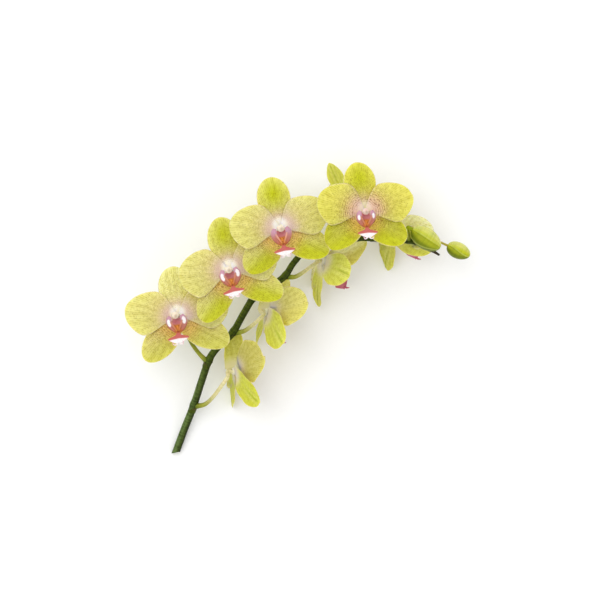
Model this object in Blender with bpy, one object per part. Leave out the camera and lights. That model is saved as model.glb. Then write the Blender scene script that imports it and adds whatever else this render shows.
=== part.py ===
"""A cut stem of a moth orchid with nine open flowers and two buds, lying on a surface.

The stem lies in the XY plane with its cut end at the lower left and its tip at the right. Four flowers face up
(+Z) and five face down and to the right, where their petals touch the surface at Z = 0. Sizes here are in
millimetres; the meshes are made in metres.
"""
import math

import bmesh
import bpy
import numpy as np

MM = 0.001

# Where the middle of the plan lies in the frame that the places below are measured in.
PLAN_CENTRE = (-0.88, -6.92)

# Blades: petals, sepals and the lip's lobes.
BLADE = 0.8
TEPAL_ROWS = 6
TIP_CUT = 0.985          # a blade stops here on its length, where it still has some width
ROWS_TO_TIP = 0.9        # below 1 a tepal's rows lie closer towards its tip
CURVE_STEPS = 100        # in which a tepal's bent middle line is summed up
FLOOR_BEND = 5.0         # below this height a petal starts to bend along the surface
FLOOR_REACH = 7.0        # what would lie this far below that height lies flat on the surface
FLOOR_SLIDE = 0.25       # and slides forward by this share of what the surface takes from its depth
FLOOR_FLAT = 0.3         # corners lower than this lie on the surface
GAP = 0.3                # between a stalk and what it carries
WELD = 0.001             # corners closer than this become one after a union

# The middle of a flower: the receptacle that its tepals are rooted in, and the column in front of it.
RECEPTACLE = (3.4, 3.4, 2.6)
RECEPTACLE_FRONT = 0.2
RECEPTACLE_RINGS = 5
RECEPTACLE_SIDES = 8
COLUMN_SIDES = 7
COLUMN_LINE = ((0, 0.3, 3.5), (0, 1.0, 6), (0, 1.0, 8.5), (0, 0.3, 10.5), (0, -0.2, 11.6))
COLUMN_RADII = (1.95, 2.3, 2.65, 2.2, 0.9)

# The lip in the flower's axes (right, up, front): its middle lobe, with an anchor's arms, its callus and the right
# one of its two erect side lobes. Each lobe is a strip along a line, with its half widths and cross directions.
MIDDLE_LOBE = ((0, -2.45, 3.5), (0, -4.9, 5.2), (0, -7.7, 8), (0, -10.8, 10.3), (0, -14, 12.4), (0, -17.2, 14.6),
               (0, -20, 16.8))
MIDDLE_LOBE_HALF = (1.5, 2.0, 2.6, 3.5, 7.4, 5.4, 1.2)
MIDDLE_LOBE_COLUMNS = 5
MIDDLE_LOBE_FOLD = 0.18  # how far its sides turn forward, as a share of its half width
SIDE_LOBE = ((1.6, -6.4, 6.4), (5.2, -5.4, 8.4), (7.8, -3.4, 10.4), (7.9, -0.8, 12.8))
SIDE_LOBE_HALF = (1.6, 3.4, 4.0, 1.8)
SIDE_LOBE_CROSS = ((0.1, 0.95, 0.3), (0.25, 0.93, 0.25), (0.25, 0.94, 0.15), (0.1, 0.98, 0.1))
SIDE_LOBE_COLUMNS = 3
CALLUS_AT = (0, -7.6, 8.6)
CALLUS = (2.6, 2.6, 1.5)
CALLUS_RINGS = 4
CALLUS_SIDES = 6

# Each tepal lies along its own axis, turned from the flower's right side by angle. The near side faces the
# dorsal sepal. Widths are half widths; rise and tip shape the outline before and after its widest place.
DORSAL = dict(length=40, width=(12.6, 12.6), widest=(0.58, 0.58), rise=(1.3, 1.3), tip=(2.0, 2.0), claw=3.0,
              lift=4, arc=12, cup=-2.0, start=1.0, layer=0.0, angle=90, columns=4)
LATERAL = dict(length=42, width=(12.3, 13.3), widest=(0.56, 0.48), rise=(1.3, 1.0), tip=(1.9, 1.8), claw=3.2,
               lift=4, arc=10, cup=-1.5, start=1.0, layer=0.0, angle=-38, columns=4)
PETAL = dict(length=39.5, width=(17.5, 17.3), widest=(0.45, 0.60), rise=(1.05, 2.0), tip=(1.6, 1.4), claw=2.6,
             lift=11, arc=16, cup=-2.2, start=1.2, layer=2.2, angle=10, columns=6)
TEPALS = {
    "dorsal": (DORSAL, 1),
    "sepal_right": (LATERAL, 1),
    "sepal_left": (LATERAL, -1),
    "petal_right": (PETAL, 1),
    "petal_left": (PETAL, -1),
}


def bend(turn=0, lift=0, arc=0, length=1.0, width=1.0, near=1.0):
    """How one tepal departs from its kind: degrees for turn, lift and arc, then factors for its length, its
    width and the width of its near side alone."""
    return dict(turn=turn, lift=lift, arc=arc, length=length, width=width, near=near)


# A flower's place is the middle of its back. It faces along an azimuth in plan and an elevation above the
# surface, and is rolled about that axis. Its stalk leaves the stem beside the first of its points.
BLOOMS = {
    "bloom_1": dict(at=(-49.9, -54.0, 28), azimuth=2, elevation=-16, roll=-5, size=0.92,
                    bends=dict(dorsal=bend(-2, 9, -5, 0.84, 0.85), sepal_right=bend(0, 0, -4),
                               sepal_left=bend(-4, 6, -24, 1, 0.91), petal_right=bend(0, -3),
                               petal_left=bend(4, 10, -12, 1.03)),
                    stalk=((-78.4, -81.4, 15), (-73.3, -81.5, 17.5), (-66.2, -75.8, 22.5), (-59.6, -66.4, 28),
                           (-54.1, -57.9, 32.5))),
    "bloom_2": dict(at=(-91.1, -12.8, 60), azimuth=9, elevation=83, roll=9, size=0.97,
                    bends=dict(dorsal=bend(-3, 0, 0, 0.96), sepal_right=bend(2, 0, 0, 1.03, 0.97),
                               sepal_left=bend(-7, 0, 0, 0.97, 0.94), petal_left=bend(6, 0, 0, 1.02)),
                    stalk=((-71.6, -45.5, 32), (-76, -40.9, 34), (-81.2, -33.6, 38), (-87.2, -21.8, 45))),
    "bloom_3": dict(at=(-25.3, -9.3, 31), azimuth=-12, elevation=-20, roll=-6, size=0.94,
                    bends=dict(dorsal=bend(-8, 15, -13, 0.86), sepal_right=bend(9, 8, -6, 0.96),
                               sepal_left=bend(-2, 6, -6, 1.02), petal_right=bend(0, 15, -6),
                               petal_left=bend(3, 16, -13, 1.04)),
                    stalk=((-47.1, -25, 40.5), (-42.2, -23.4, 40.5), (-37, -20, 40), (-31.7, -15.5, 39),
                           (-27.6, -11, 37))),
    "bloom_4": dict(at=(-52.0, 21.0, 67), azimuth=4, elevation=83, roll=14, size=0.99,
                    bends=dict(dorsal=bend(-4, 0, 0, 1.02), sepal_right=bend(0, 0, 0, 1.02, 0.94),
                               sepal_left=bend(-9, 0, 0, 1, 0.95), petal_left=bend(0, 0, 0, 0.96, 1.04)),
                    stalk=((-36.4, 3.8, 48.3), (-40.5, 6.8, 49.5), (-45.3, 11.2, 52), (-49.7, 16.5, 55))),
    "bloom_5": dict(at=(17.3, 29.0, 30), azimuth=-19, elevation=-30, roll=-27, size=0.93,
                    bends=dict(dorsal=bend(-4, 18, -12, 0.95), sepal_right=bend(2, 11, -28, 0.95),
                               sepal_left=bend(-2, 6, -4), petal_right=bend(0, 8, -6),
                               petal_left=bend(0, 16, -8, 1, 1, 0.7)),
                    stalk=((-8.6, 16.7, 49), (-3.8, 17.4, 47.5), (1.9, 20.5, 45), (7.5, 24.6, 42),
                           (12.1, 28.1, 39))),
    "bloom_6": dict(at=(-14.7, 52.1, 71), azimuth=7, elevation=81, roll=11, size=0.97,
                    bends=dict(dorsal=bend(0, 0, 0, 1, 1.04), sepal_right=bend(3, 0, 0, 0.97),
                               sepal_left=bend(-3, 0, 0, 0.96, 1.03), petal_right=bend(8, 0, 0, 0.98, 0.96),
                               petal_left=bend(6, 0, 0, 0.98)),
                    stalk=((1.5, 38.2, 51), (-2.6, 40.4, 52.5), (-7.5, 43.8, 55), (-11.9, 47.8, 58))),
    "bloom_7": dict(at=(35.7, 71.8, 25), azimuth=29, elevation=-20, roll=-1, size=0.88,
                    bends=dict(dorsal=bend(2, 3, -4, 0.98), sepal_right=bend(3, 8, -5, 0.98),
                               sepal_left=bend(6, 0, 0, 0.97), petal_right=bend(0, 3)),
                    stalk=((25.5, 47.7, 48.5), (24.4, 52.6, 46), (25.2, 59.1, 42), (28.3, 65.3, 37))),
    "bloom_8": dict(at=(47.6, 64.9, 71), azimuth=-2, elevation=80, roll=4, size=0.92,
                    bends=dict(dorsal=bend(4, 0, 0, 1, 1.06), sepal_right=bend(0, 0, 0, 0.96, 1.03),
                               sepal_left=bend(-2, 0, 0, 0.92, 0.94), petal_right=bend(7, 0, 0, 1.02),
                               petal_left=bend(10, 0, 0, 1, 1.04)),
                    stalk=((43.1, 48.8, 50), (43.5, 52.5, 51.5), (44.9, 57.2, 54), (46.7, 62, 58))),
    "bloom_9": dict(at=(70.6, 51.0, 22), azimuth=2, elevation=-38, roll=-6, size=0.85,
                    bends=dict(sepal_right=bend(-5, 14, -8, 1.02), sepal_left=bend(8, 20, -13, 0.96, 0.96),
                               petal_right=bend(0, 9, -7), petal_left=bend(-15, 14, -11, 0.96, 0.9)),
                    stalk=((58.4, 46.7, 43), (58.1, 48.7, 39.5), (59.7, 50.7, 35), (62.5, 51.8, 31))),
}

# The stem's middle line, from the cut end to the tip, and its thickness there.
STEM_LINE = (
    (-95.5, -117, 2.6), (-89.1, -99.9, 5.8), (-81.7, -81.5, 13), (-74.9, -61.7, 22.5), (-69.3, -46.2, 31),
    (-63.1, -36.7, 35.5), (-50.8, -24.5, 41), (-43, -11.3, 45), (-34.8, 1.5, 47.5), (-24, 8.6, 49),
    (-11.5, 18, 50), (-5.1, 27.4, 50.3), (3.4, 36.7, 50.3), (14.2, 42.7, 50.2), (27.8, 45.9, 49.8),
    (45, 46.3, 48.8), (63.9, 45.5, 46.2), (82.4, 44.3, 43), (94.6, 40.3, 40), (105.2, 34, 37),
)
STEM_BASE_WIDTH = 5.9
STEM_TIP_WIDTH = 3.4
STEM_TAPER = 1.6         # above 1 the stem keeps its width first and thins towards its tip
STEM_SIDES = 10
STEM_STEPS_PER_SPAN = 2
STEM_FINE_STEPS = 12     # steps per span where a place on the stem is looked up
NODE_SWELL = 0.45        # how much the stem thickens at a node
NODE_LENGTH = 4.5
STEM_CUT = (0.2, 0.97, 0.1)
BRACT_APART = 1.2        # between a bract and the stalk above it
BRACT = (2.6, 1.7, 0.8)  # half sizes of the scale below a stalk: along the stem, across it and out of it
BRACT_RINGS = 4
BRACT_SIDES = 5

STALK_SIDES = 6
STALK_STEPS_PER_SPAN = 2
STALK_STEM_WIDTH = 3.0
STALK_MIDDLE_WIDTH = 2.3
STALK_FLOWER_WIDTH = 3.6
STALK_FLARE = 0.12       # share of its length in which it thins from the stem
STALK_STRAIGHT = 2.5     # its last stretch, in line with what it carries

BUDS = {
    "bud_1": dict(base=(84, 52.9, 50.5), tip=(105.1, 39, 48), width=15.6,
                  stalk=((80.9, 46.6, 44.5), (79.4, 49.9, 48), (80.4, 53.4, 50.5))),
    "bud_2": dict(base=(111.3, 39.8, 37), tip=(128.3, 32.3, 36), width=12.6,
                  stalk=((98.5, 41.1, 38.5), (102.7, 43.6, 38), (106.5, 44.1, 38))),
}
BUD_RINGS = 9
BUD_SIDES = 15
BUD_SEAM_DEPTH = 0.05    # of the radius
BUD_SEAM_WIDTH = 0.22    # radians about the bud's axis
BUD_SHAPE = (0.85, 0.62) # powers: below 1 the first brings the widest place towards the tip, the second fills it out
BUD_TAPER = 0.12

COLOURS = {
    "stem": ("#44561F", 0.5),
    "tepals": ("#DAD67C", 0.5),
    "lip": ("#C4574A", 0.45),
    "column": ("#E9D6DA", 0.4),
    "pedicel": ("#B9BE6C", 0.5),
    "bud": ("#A3AA2E", 0.45),
}


def material(kind):
    """A plain Principled material in the part's colour."""
    colour, roughness = COLOURS[kind]
    found = bpy.data.materials.get(kind)
    if found:
        return found
    made = bpy.data.materials.new(kind)
    made.use_nodes = True
    srgb = [int(colour[i:i + 2], 16) / 255 for i in (1, 3, 5)]
    linear = [c / 12.92 if c <= 0.04045 else ((c + 0.055) / 1.055) ** 2.4 for c in srgb]
    shader = made.node_tree.nodes["Principled BSDF"]
    shader.inputs["Base Color"].default_value = (*linear, 1)
    shader.inputs["Roughness"].default_value = roughness
    shader.inputs["Metallic"].default_value = 0.0
    return made


def solid(name, points, faces, kind):
    """An object from points in millimetres and closed faces, in the part's material."""
    shift = np.array([PLAN_CENTRE[0], PLAN_CENTRE[1], 0.0])
    mesh = bpy.data.meshes.new(name)
    mesh.from_pydata(((np.asarray(points) - shift) * MM).tolist(), [], faces)
    mesh.materials.append(material(kind))
    mesh.shade_smooth()
    made = bpy.data.objects.new(name, mesh)
    bpy.context.scene.collection.objects.link(made)
    return made


def fuse(name, pieces, kind):
    """One body from overlapping pieces: a Boolean union on a collection, applied."""
    group = bpy.data.collections.new(name + "_pieces")
    body = pieces[0]
    for piece in pieces[1:]:
        group.objects.link(piece)
    union = body.modifiers.new("union", "BOOLEAN")
    union.operation = "UNION"
    union.operand_type = "COLLECTION"
    union.collection = group
    union.solver = "MANIFOLD"
    graph = bpy.context.evaluated_depsgraph_get()
    mesh = bpy.data.meshes.new_from_object(body.evaluated_get(graph))
    for piece in pieces:
        bpy.data.objects.remove(piece)
    bpy.data.collections.remove(group)
    work = bmesh.new()
    work.from_mesh(mesh)
    bmesh.ops.remove_doubles(work, verts=work.verts, dist=WELD * MM)
    bmesh.ops.triangulate(work, faces=work.faces)
    work.to_mesh(mesh)
    work.free()
    mesh.name = name
    mesh.materials.clear()
    mesh.materials.append(material(kind))
    mesh.shade_smooth()
    made = bpy.data.objects.new(name, mesh)
    bpy.context.scene.collection.objects.link(made)
    return made


def surface_normals(grid):
    """Unit normals of a grid of points: the cross product of its two directions."""
    along = np.gradient(grid, axis=0)
    across = np.gradient(grid, axis=1)
    normal = np.cross(across, along)
    return normal / np.linalg.norm(normal, axis=-1, keepdims=True)


def blade(grid, thickness=BLADE):
    """Points and triangles of a closed sheet round a middle surface, split alike on both faces."""
    rows, columns = grid.shape[:2]
    offset = surface_normals(grid) * thickness / 2
    points = np.concatenate([(grid + offset).reshape(-1, 3), (grid - offset).reshape(-1, 3)])
    back = rows * columns
    at = np.arange(back).reshape(rows, columns)
    faces = []
    for i in range(rows - 1):
        for j in range(columns - 1):
            a, b, c, d = (int(at[i, j]), int(at[i, j + 1]), int(at[i + 1, j + 1]), int(at[i + 1, j]))
            faces += [(a, b, c), (a, c, d)]
            faces += [(c + back, b + back, a + back), (d + back, c + back, a + back)]
    rim = [*at[0, :-1], *at[:-1, -1], *at[-1, :0:-1], *at[:0:-1, 0]]
    for here, after in zip(rim, rim[1:] + rim[:1]):
        a, b = int(here), int(after)
        faces += [(b, a, a + back), (b, a + back, b + back)]
    return points, faces


def side_width(t, claw, widest, rise, tip):
    """Half width of one side as a share of its largest: a sine rise from the claw, then a rounded tip."""
    up = claw + (1 - claw) * np.sin(np.clip(t / widest, 0, 1) * np.pi / 2) ** rise
    past = np.clip(t - widest, 0, None) / (1 - widest)
    return np.where(t < widest, up, np.sqrt(np.clip(1 - past ** tip, 0, 1)))


def tepal_grid(kind, change):
    """Middle surface of a tepal in its own axes: x along it, y to its near side, z to the flower's front."""
    t = (np.linspace(0, TIP_CUT, TEPAL_ROWS) ** ROWS_TO_TIP)[:, None]
    s = np.linspace(-1, 1, kind["columns"])[None, :]
    near, far = (w * change["width"] for w in kind["width"])
    near *= change["near"]
    near_edge = near * side_width(t, kind["claw"] / near, kind["widest"][0], kind["rise"][0], kind["tip"][0])
    far_edge = far * side_width(t, kind["claw"] / far, kind["widest"][1], kind["rise"][1], kind["tip"][1])
    y = np.where(s < 0, -s * near_edge, -s * far_edge)
    fine = np.linspace(0, 1, CURVE_STEPS + 1)
    slope = np.radians(kind["lift"] + change["lift"]) - np.radians(kind["arc"] + change["arc"]) * fine
    length = kind["length"] * change["length"]
    out = np.concatenate([[0], np.cumsum(np.cos(slope[:-1]))]) * length / CURVE_STEPS
    up = np.concatenate([[0], np.cumsum(np.sin(slope[:-1]))]) * length / CURVE_STEPS
    lean = np.interp(t, fine, slope)
    depth = kind["cup"] * (y / max(near, far)) ** 2
    x = kind["start"] + np.interp(t, fine, out) - depth * np.sin(lean)
    z = np.interp(t, fine, up) + depth * np.cos(lean)
    return np.stack([x, y + 0 * t, z], -1)


def flower_axes(azimuth, elevation, roll):
    """The flower's right, up and front directions, for a viewer who looks at its face."""
    a, e, r = (math.radians(v) for v in (azimuth, elevation, roll))
    front = np.array([math.cos(e) * math.cos(a), math.cos(e) * math.sin(a), math.sin(e)])
    up = np.array([0.0, 1.0, 0.0])
    up -= up @ front * front
    up /= np.linalg.norm(up)
    right = np.cross(up, front)
    return np.array([math.cos(r) * right + math.sin(r) * up, math.cos(r) * up - math.sin(r) * right, front])


def rest_on_floor(points, front):
    """Bends what would reach below the surface along it, towards the flower's front. Below FLOOR_BEND a height
    eases down along a cosine and lies flat from FLOOR_REACH on."""
    least = BLADE / 2
    height = points[..., 2]
    share = np.clip((FLOOR_BEND - height) / FLOOR_REACH, 0, 1)
    eased = np.where(height < FLOOR_BEND, FLOOR_BEND - (FLOOR_BEND - least) * np.sin(share * np.pi / 2), height)
    flat = front[:2] / np.linalg.norm(front[:2])
    moved = points.copy()
    moved[..., :2] += flat * ((eased - height) * FLOOR_SLIDE)[..., None]
    moved[..., 2] = eased
    return moved


def in_flower(bloom, local):
    """Points from the flower's own axes (right, up, front) to the part's frame."""
    axes = flower_axes(bloom["azimuth"], bloom["elevation"], bloom["roll"])
    return np.array(bloom["at"], float) + bloom["size"] * np.asarray(local, float) @ axes


def tepal_points(bloom, name):
    """Middle surface of one of the flower's tepals, in place."""
    kind, side = TEPALS[name]
    change = bloom["bends"].get(name, bend())
    own = tepal_grid(kind, change)
    a = math.radians(kind["angle"] + change["turn"])
    x = own[..., 0] * math.cos(a) - own[..., 1] * math.sin(a)
    y = own[..., 0] * math.sin(a) + own[..., 1] * math.cos(a)
    local = np.stack([x * side, y, own[..., 2] + kind["layer"]], -1)
    if side < 0:
        local = local[:, ::-1]
    placed = in_flower(bloom, local)
    return rest_on_floor(placed, flower_axes(bloom["azimuth"], bloom["elevation"], bloom["roll"])[2])


def ball(centre, radii, axes, rings, sides):
    """Points and faces of an ellipsoid whose half sizes lie along the given axes."""
    polar = np.linspace(0, np.pi, rings + 1)[1:-1, None]
    turn = np.arange(sides) * 2 * np.pi / sides
    unit = np.stack([np.sin(polar) * np.cos(turn), np.sin(polar) * np.sin(turn), np.cos(polar) + 0 * turn], -1)
    points = [np.array([0, 0, 1.0]), *unit.reshape(-1, 3), np.array([0, 0, -1.0])]
    points = np.asarray(centre) + (np.array(points) * radii) @ axes
    faces = []
    for j in range(sides):
        k = (j + 1) % sides
        faces.append((0, 1 + j, 1 + k))
        for i in range(rings - 2):
            row = 1 + i * sides
            faces.append((row + j, row + sides + j, row + sides + k, row + k))
        last = 1 + (rings - 2) * sides
        faces.append((last + j, len(points) - 1, last + k))
    return points, faces


def smooth_line(points, steps):
    """A Catmull-Rom curve through the points, with steps pieces to each span."""
    p = np.asarray(points, float)
    p = np.concatenate([[2 * p[0] - p[1]], p, [2 * p[-1] - p[-2]]])
    t = (np.arange(steps) / steps)[:, None]
    spans = []
    for a, b, c, d in zip(p, p[1:], p[2:], p[3:]):
        spans.append(0.5 * (2 * b + (c - a) * t + (2 * a - 5 * b + 4 * c - d) * t ** 2
                            + (3 * b - a - 3 * c + d) * t ** 3))
    return np.concatenate([*spans, [p[-2]]])


def tube(line, radii, sides, first_cut=None, last_cut=None):
    """Points and faces of a closed tube along a line. Its rings keep their turn from one to the next, and the
    end rings may be cut along given normals."""
    tangent = np.gradient(line, axis=0)
    tangent /= np.linalg.norm(tangent, axis=1, keepdims=True)
    across = np.cross(tangent[0], [0, 0, 1.0])
    rings = []
    for i, (point, way, radius) in enumerate(zip(line, tangent, radii)):
        across = across - across @ way * way
        across /= np.linalg.norm(across)
        other = np.cross(way, across)
        turn = np.arange(sides)[:, None] * 2 * np.pi / sides
        ring = point + radius * (np.cos(turn) * across + np.sin(turn) * other)
        cut = first_cut if i == 0 else last_cut if i == len(line) - 1 else None
        if cut is not None:
            ring = ring - ((ring - point) @ cut / (way @ cut))[:, None] * way
        rings.append(ring)
    points = np.concatenate(rings)
    faces = [tuple(range(sides))[::-1]]
    for i in range(len(line) - 1):
        for j in range(sides):
            k = (j + 1) % sides
            faces.append((i * sides + j, i * sides + k, (i + 1) * sides + k, (i + 1) * sides + j))
    faces.append(tuple((len(line) - 1) * sides + j for j in range(sides)))
    return points, faces


def stem_radius(line):
    """The stem tapers along its length and swells a little at each node."""
    run = np.concatenate([[0], np.cumsum(np.linalg.norm(np.diff(line, axis=0), axis=1))])
    radius = (STEM_BASE_WIDTH + (STEM_TIP_WIDTH - STEM_BASE_WIDTH) * (run / run[-1]) ** STEM_TAPER) / 2
    for piece in (*BLOOMS.values(), *BUDS.values()):
        apart = np.linalg.norm(line - np.array(piece["stalk"][0]), axis=1)
        radius = radius + NODE_SWELL * np.exp(-(run - run[apart.argmin()]) ** 2 / (NODE_LENGTH / 2) ** 2)
    return radius


def node_beside(point):
    """The stem beside a point: its skin there, the way out of the skin and the way along the stem."""
    line = smooth_line(STEM_LINE, STEM_FINE_STEPS)
    nearest = np.linalg.norm(line - np.array(point), axis=1).argmin()
    along = np.gradient(line, axis=0)[nearest]
    along /= np.linalg.norm(along)
    out = np.array(point) - line[nearest]
    out -= out @ along * along
    out /= np.linalg.norm(out)
    return line[nearest] + out * stem_radius(line)[nearest], out, along


def stem():
    """The stem with its slanted cut, and a bract below each stalk."""
    line = smooth_line(STEM_LINE, STEM_STEPS_PER_SPAN)
    points, faces = tube(line, stem_radius(line), STEM_SIDES, np.array(STEM_CUT) / np.linalg.norm(STEM_CUT))
    points[:, 2] = np.maximum(points[:, 2], 0.0)
    pieces = [solid("shaft", points, faces, "stem")]
    for piece in (*BLOOMS.values(), *BUDS.values()):
        node, _, along = node_beside(piece["stalk"][0])
        centre, out, along = node_beside(node - along * (BRACT[0] + STALK_STEM_WIDTH / 2 + BRACT_APART))
        axes = (along, np.cross(out, along), out)
        pieces.append(solid("bract", *ball(centre, BRACT, axes, BRACT_RINGS, BRACT_SIDES), "stem"))
    return fuse("stem", pieces, "stem")


def stalk(name, piece, end, end_way, width):
    """A pedicel, thin in its middle and thicker at both ends. Its ends are cut square to what they meet."""
    skin, out, _ = node_beside(piece["stalk"][0])
    points = [skin + GAP * out, *piece["stalk"][1:], end - STALK_STRAIGHT * end_way, end]
    line = smooth_line(points, STALK_STEPS_PER_SPAN)
    t = np.linspace(0, 1, len(line))
    radius = (STALK_MIDDLE_WIDTH + (STALK_STEM_WIDTH - STALK_MIDDLE_WIDTH) * np.exp(-t / STALK_FLARE)
              + (width - STALK_MIDDLE_WIDTH) * t ** 3) / 2
    points, faces = tube(line, radius, STALK_SIDES, out, end_way)
    return solid(name, points, faces, "pedicel")


def tepals(name, bloom):
    """Three sepals and two petals, rooted in the receptacle at the flower's back."""
    axes = flower_axes(bloom["azimuth"], bloom["elevation"], bloom["roll"])
    size = bloom["size"]
    centre = in_flower(bloom, (0, 0, RECEPTACLE_FRONT))
    pieces = [solid("root", *ball(centre, size * np.array(RECEPTACLE), axes, RECEPTACLE_RINGS, RECEPTACLE_SIDES),
                    "tepals")]
    for tepal in TEPALS:
        points, faces = blade(tepal_points(bloom, tepal))
        points[:, 2] = np.where(points[:, 2] < FLOOR_FLAT, 0.0, points[:, 2])
        pieces.append(solid(tepal, points, faces, "tepals"))
    return fuse(name + "_tepals", pieces, "tepals")


def column(name, bloom):
    """The column stands before the receptacle and ends in the rounded anther cap."""
    points, faces = tube(in_flower(bloom, COLUMN_LINE), np.array(COLUMN_RADII) * bloom["size"], COLUMN_SIDES)
    return solid(name + "_column", points, faces, "column")


def lobe(bloom, line, half, cross, columns, fold=0.0):
    """A lobe of the lip: a strip along a line, with its half widths and its directions across."""
    line = np.array(line, float)
    half = np.array(half, float)[:, None, None]
    cross = np.array(cross, float)
    cross = (cross / np.linalg.norm(cross, axis=1, keepdims=True))[:, None, :]
    s = np.linspace(1, -1, columns)[None, :, None]
    face = np.cross(np.gradient(line, axis=0)[:, None, :], cross)
    face /= np.linalg.norm(face, axis=-1, keepdims=True)
    return blade(in_flower(bloom, line[:, None, :] + s * half * cross + fold * half * s ** 2 * face))


def lip(name, bloom):
    """The lip: a claw and callus below the column, two erect side lobes and the anchor-shaped middle lobe."""
    axes = flower_axes(bloom["azimuth"], bloom["elevation"], bloom["roll"])
    across = [(1, 0, 0)] * len(MIDDLE_LOBE)
    middle = lobe(bloom, MIDDLE_LOBE, MIDDLE_LOBE_HALF, across, MIDDLE_LOBE_COLUMNS, MIDDLE_LOBE_FOLD)
    callus = ball(in_flower(bloom, CALLUS_AT), bloom["size"] * np.array(CALLUS), axes, CALLUS_RINGS, CALLUS_SIDES)
    pieces = [solid("middle", *middle, "lip"), solid("callus", *callus, "lip")]
    for side in (1, -1):
        line = np.array(SIDE_LOBE) * (side, 1, 1)
        cross = np.array(SIDE_LOBE_CROSS) * (1, side, side)
        pieces.append(solid("side", *lobe(bloom, line, SIDE_LOBE_HALF, cross, SIDE_LOBE_COLUMNS), "lip"))
    return fuse(name + "_lip", pieces, "lip")


def bud(name, place):
    """A closed bud: a plump drop with three seams where its sepals meet."""
    base, tip = np.array(place["base"], float), np.array(place["tip"], float)
    axis = tip - base
    length = np.linalg.norm(axis)
    axis /= length
    side = np.cross(axis, [0, 0, 1.0])
    side /= np.linalg.norm(side)
    other = np.cross(axis, side)
    t = (1 - np.cos(np.linspace(0, np.pi, BUD_RINGS + 1))) / 2
    turn = np.arange(BUD_SIDES) * 2 * np.pi / BUD_SIDES
    profile = np.sin(np.pi * t ** BUD_SHAPE[0]) ** BUD_SHAPE[1] * (1 - BUD_TAPER * t)
    nearest_seam = np.abs((turn * 3 / (2 * np.pi) + 0.5) % 1 - 0.5) * 2 * np.pi / 3
    seam = 1 - BUD_SEAM_DEPTH * np.exp(-(nearest_seam / BUD_SEAM_WIDTH) ** 2)
    rings = []
    for along, share in zip(t[1:-1], profile[1:-1]):
        radius = share * place["width"] / 2 * seam
        ring = base + axis * along * length
        rings.append(ring + radius[:, None] * (np.cos(turn)[:, None] * side + np.sin(turn)[:, None] * other))
    points = np.concatenate([[base], *rings, [tip]])
    last = len(points) - 1
    faces = []
    for j in range(BUD_SIDES):
        k = (j + 1) % BUD_SIDES
        faces.append((0, 1 + k, 1 + j))
        for i in range(len(rings) - 1):
            row = 1 + i * BUD_SIDES
            faces.append((row + j, row + k, row + BUD_SIDES + k, row + BUD_SIDES + j))
        row = 1 + (len(rings) - 1) * BUD_SIDES
        faces.append((row + j, row + k, last))
    return solid(name, points, faces, "bud")


def build():
    """The whole stem."""
    for old in list(bpy.data.objects):
        bpy.data.objects.remove(old)
    stem()
    for name, bloom in BLOOMS.items():
        tepals(name, bloom)
        lip(name, bloom)
        column(name, bloom)
        end = in_flower(bloom, (0, 0, RECEPTACLE_FRONT - RECEPTACLE[2] - GAP / bloom["size"]))
        front = flower_axes(bloom["azimuth"], bloom["elevation"], bloom["roll"])[2]
        stalk(name + "_pedicel", bloom, end, front, STALK_FLOWER_WIDTH)
    for name, place in BUDS.items():
        bud(name, place)
        base = np.array(place["base"], float)
        axis = np.array(place["tip"], float) - base
        axis /= np.linalg.norm(axis)
        stalk(name + "_pedicel", place, base - GAP * axis, axis, STALK_STEM_WIDTH)


build()
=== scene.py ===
# %% [markdown]
# # A cut moth orchid stem
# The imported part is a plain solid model: a stem, nine open flowers, two buds and their stalks, one flat
# colour each. This notebook dresses it. Every piece gets a finer surface that keeps the solid's form, and a
# colour that follows its tissue: yellow tepals with a pale violet heart and rows of fine spots, a waxy lip,
# a dark green stem.

import bpy
import numpy as np
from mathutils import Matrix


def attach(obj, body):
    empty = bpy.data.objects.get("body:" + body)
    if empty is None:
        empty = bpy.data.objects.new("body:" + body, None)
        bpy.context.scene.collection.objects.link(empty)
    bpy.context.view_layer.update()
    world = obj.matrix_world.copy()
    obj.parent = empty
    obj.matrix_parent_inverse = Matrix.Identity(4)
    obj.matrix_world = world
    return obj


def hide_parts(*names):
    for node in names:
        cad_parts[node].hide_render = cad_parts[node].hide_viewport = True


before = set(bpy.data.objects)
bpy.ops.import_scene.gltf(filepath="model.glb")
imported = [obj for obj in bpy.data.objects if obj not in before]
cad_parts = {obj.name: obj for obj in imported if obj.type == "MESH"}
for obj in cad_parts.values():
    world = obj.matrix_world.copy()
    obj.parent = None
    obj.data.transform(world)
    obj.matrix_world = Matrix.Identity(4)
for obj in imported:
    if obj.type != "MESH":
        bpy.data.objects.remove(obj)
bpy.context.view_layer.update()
MM = 0.001

# %% [markdown]
# ## Camera, floor and light
# The stem lies on a pale floor and the camera looks straight down on it, from 1.85 m, through a long lens.
# That is how flat studio pictures of cut flowers are taken: a long lens keeps near and far flowers almost
# the same size. The light is a large soft panel above the flowers' upper side and an even white surround,
# so shadows stay faint.

# %% Camera
PLAN_CENTRE = (-0.88, -6.92)   # mm, the plan's middle in the frame that the flowers' places are measured in
CAMERA_HEIGHT = 1.85           # m
FOCAL_LENGTH = 144             # mm, on a sensor 36 mm wide

camera = bpy.data.objects.new("camera", bpy.data.cameras.new("camera"))
camera.data.lens = FOCAL_LENGTH
camera.data.sensor_width = 36
camera.data.clip_end = 20
camera.location = (-PLAN_CENTRE[0] * MM, -PLAN_CENTRE[1] * MM, CAMERA_HEIGHT)
bpy.context.scene.collection.objects.link(camera)
bpy.context.scene.camera = camera
print("picture width at the floor in m:", round(CAMERA_HEIGHT * camera.data.sensor_width / FOCAL_LENGTH, 4))


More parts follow.
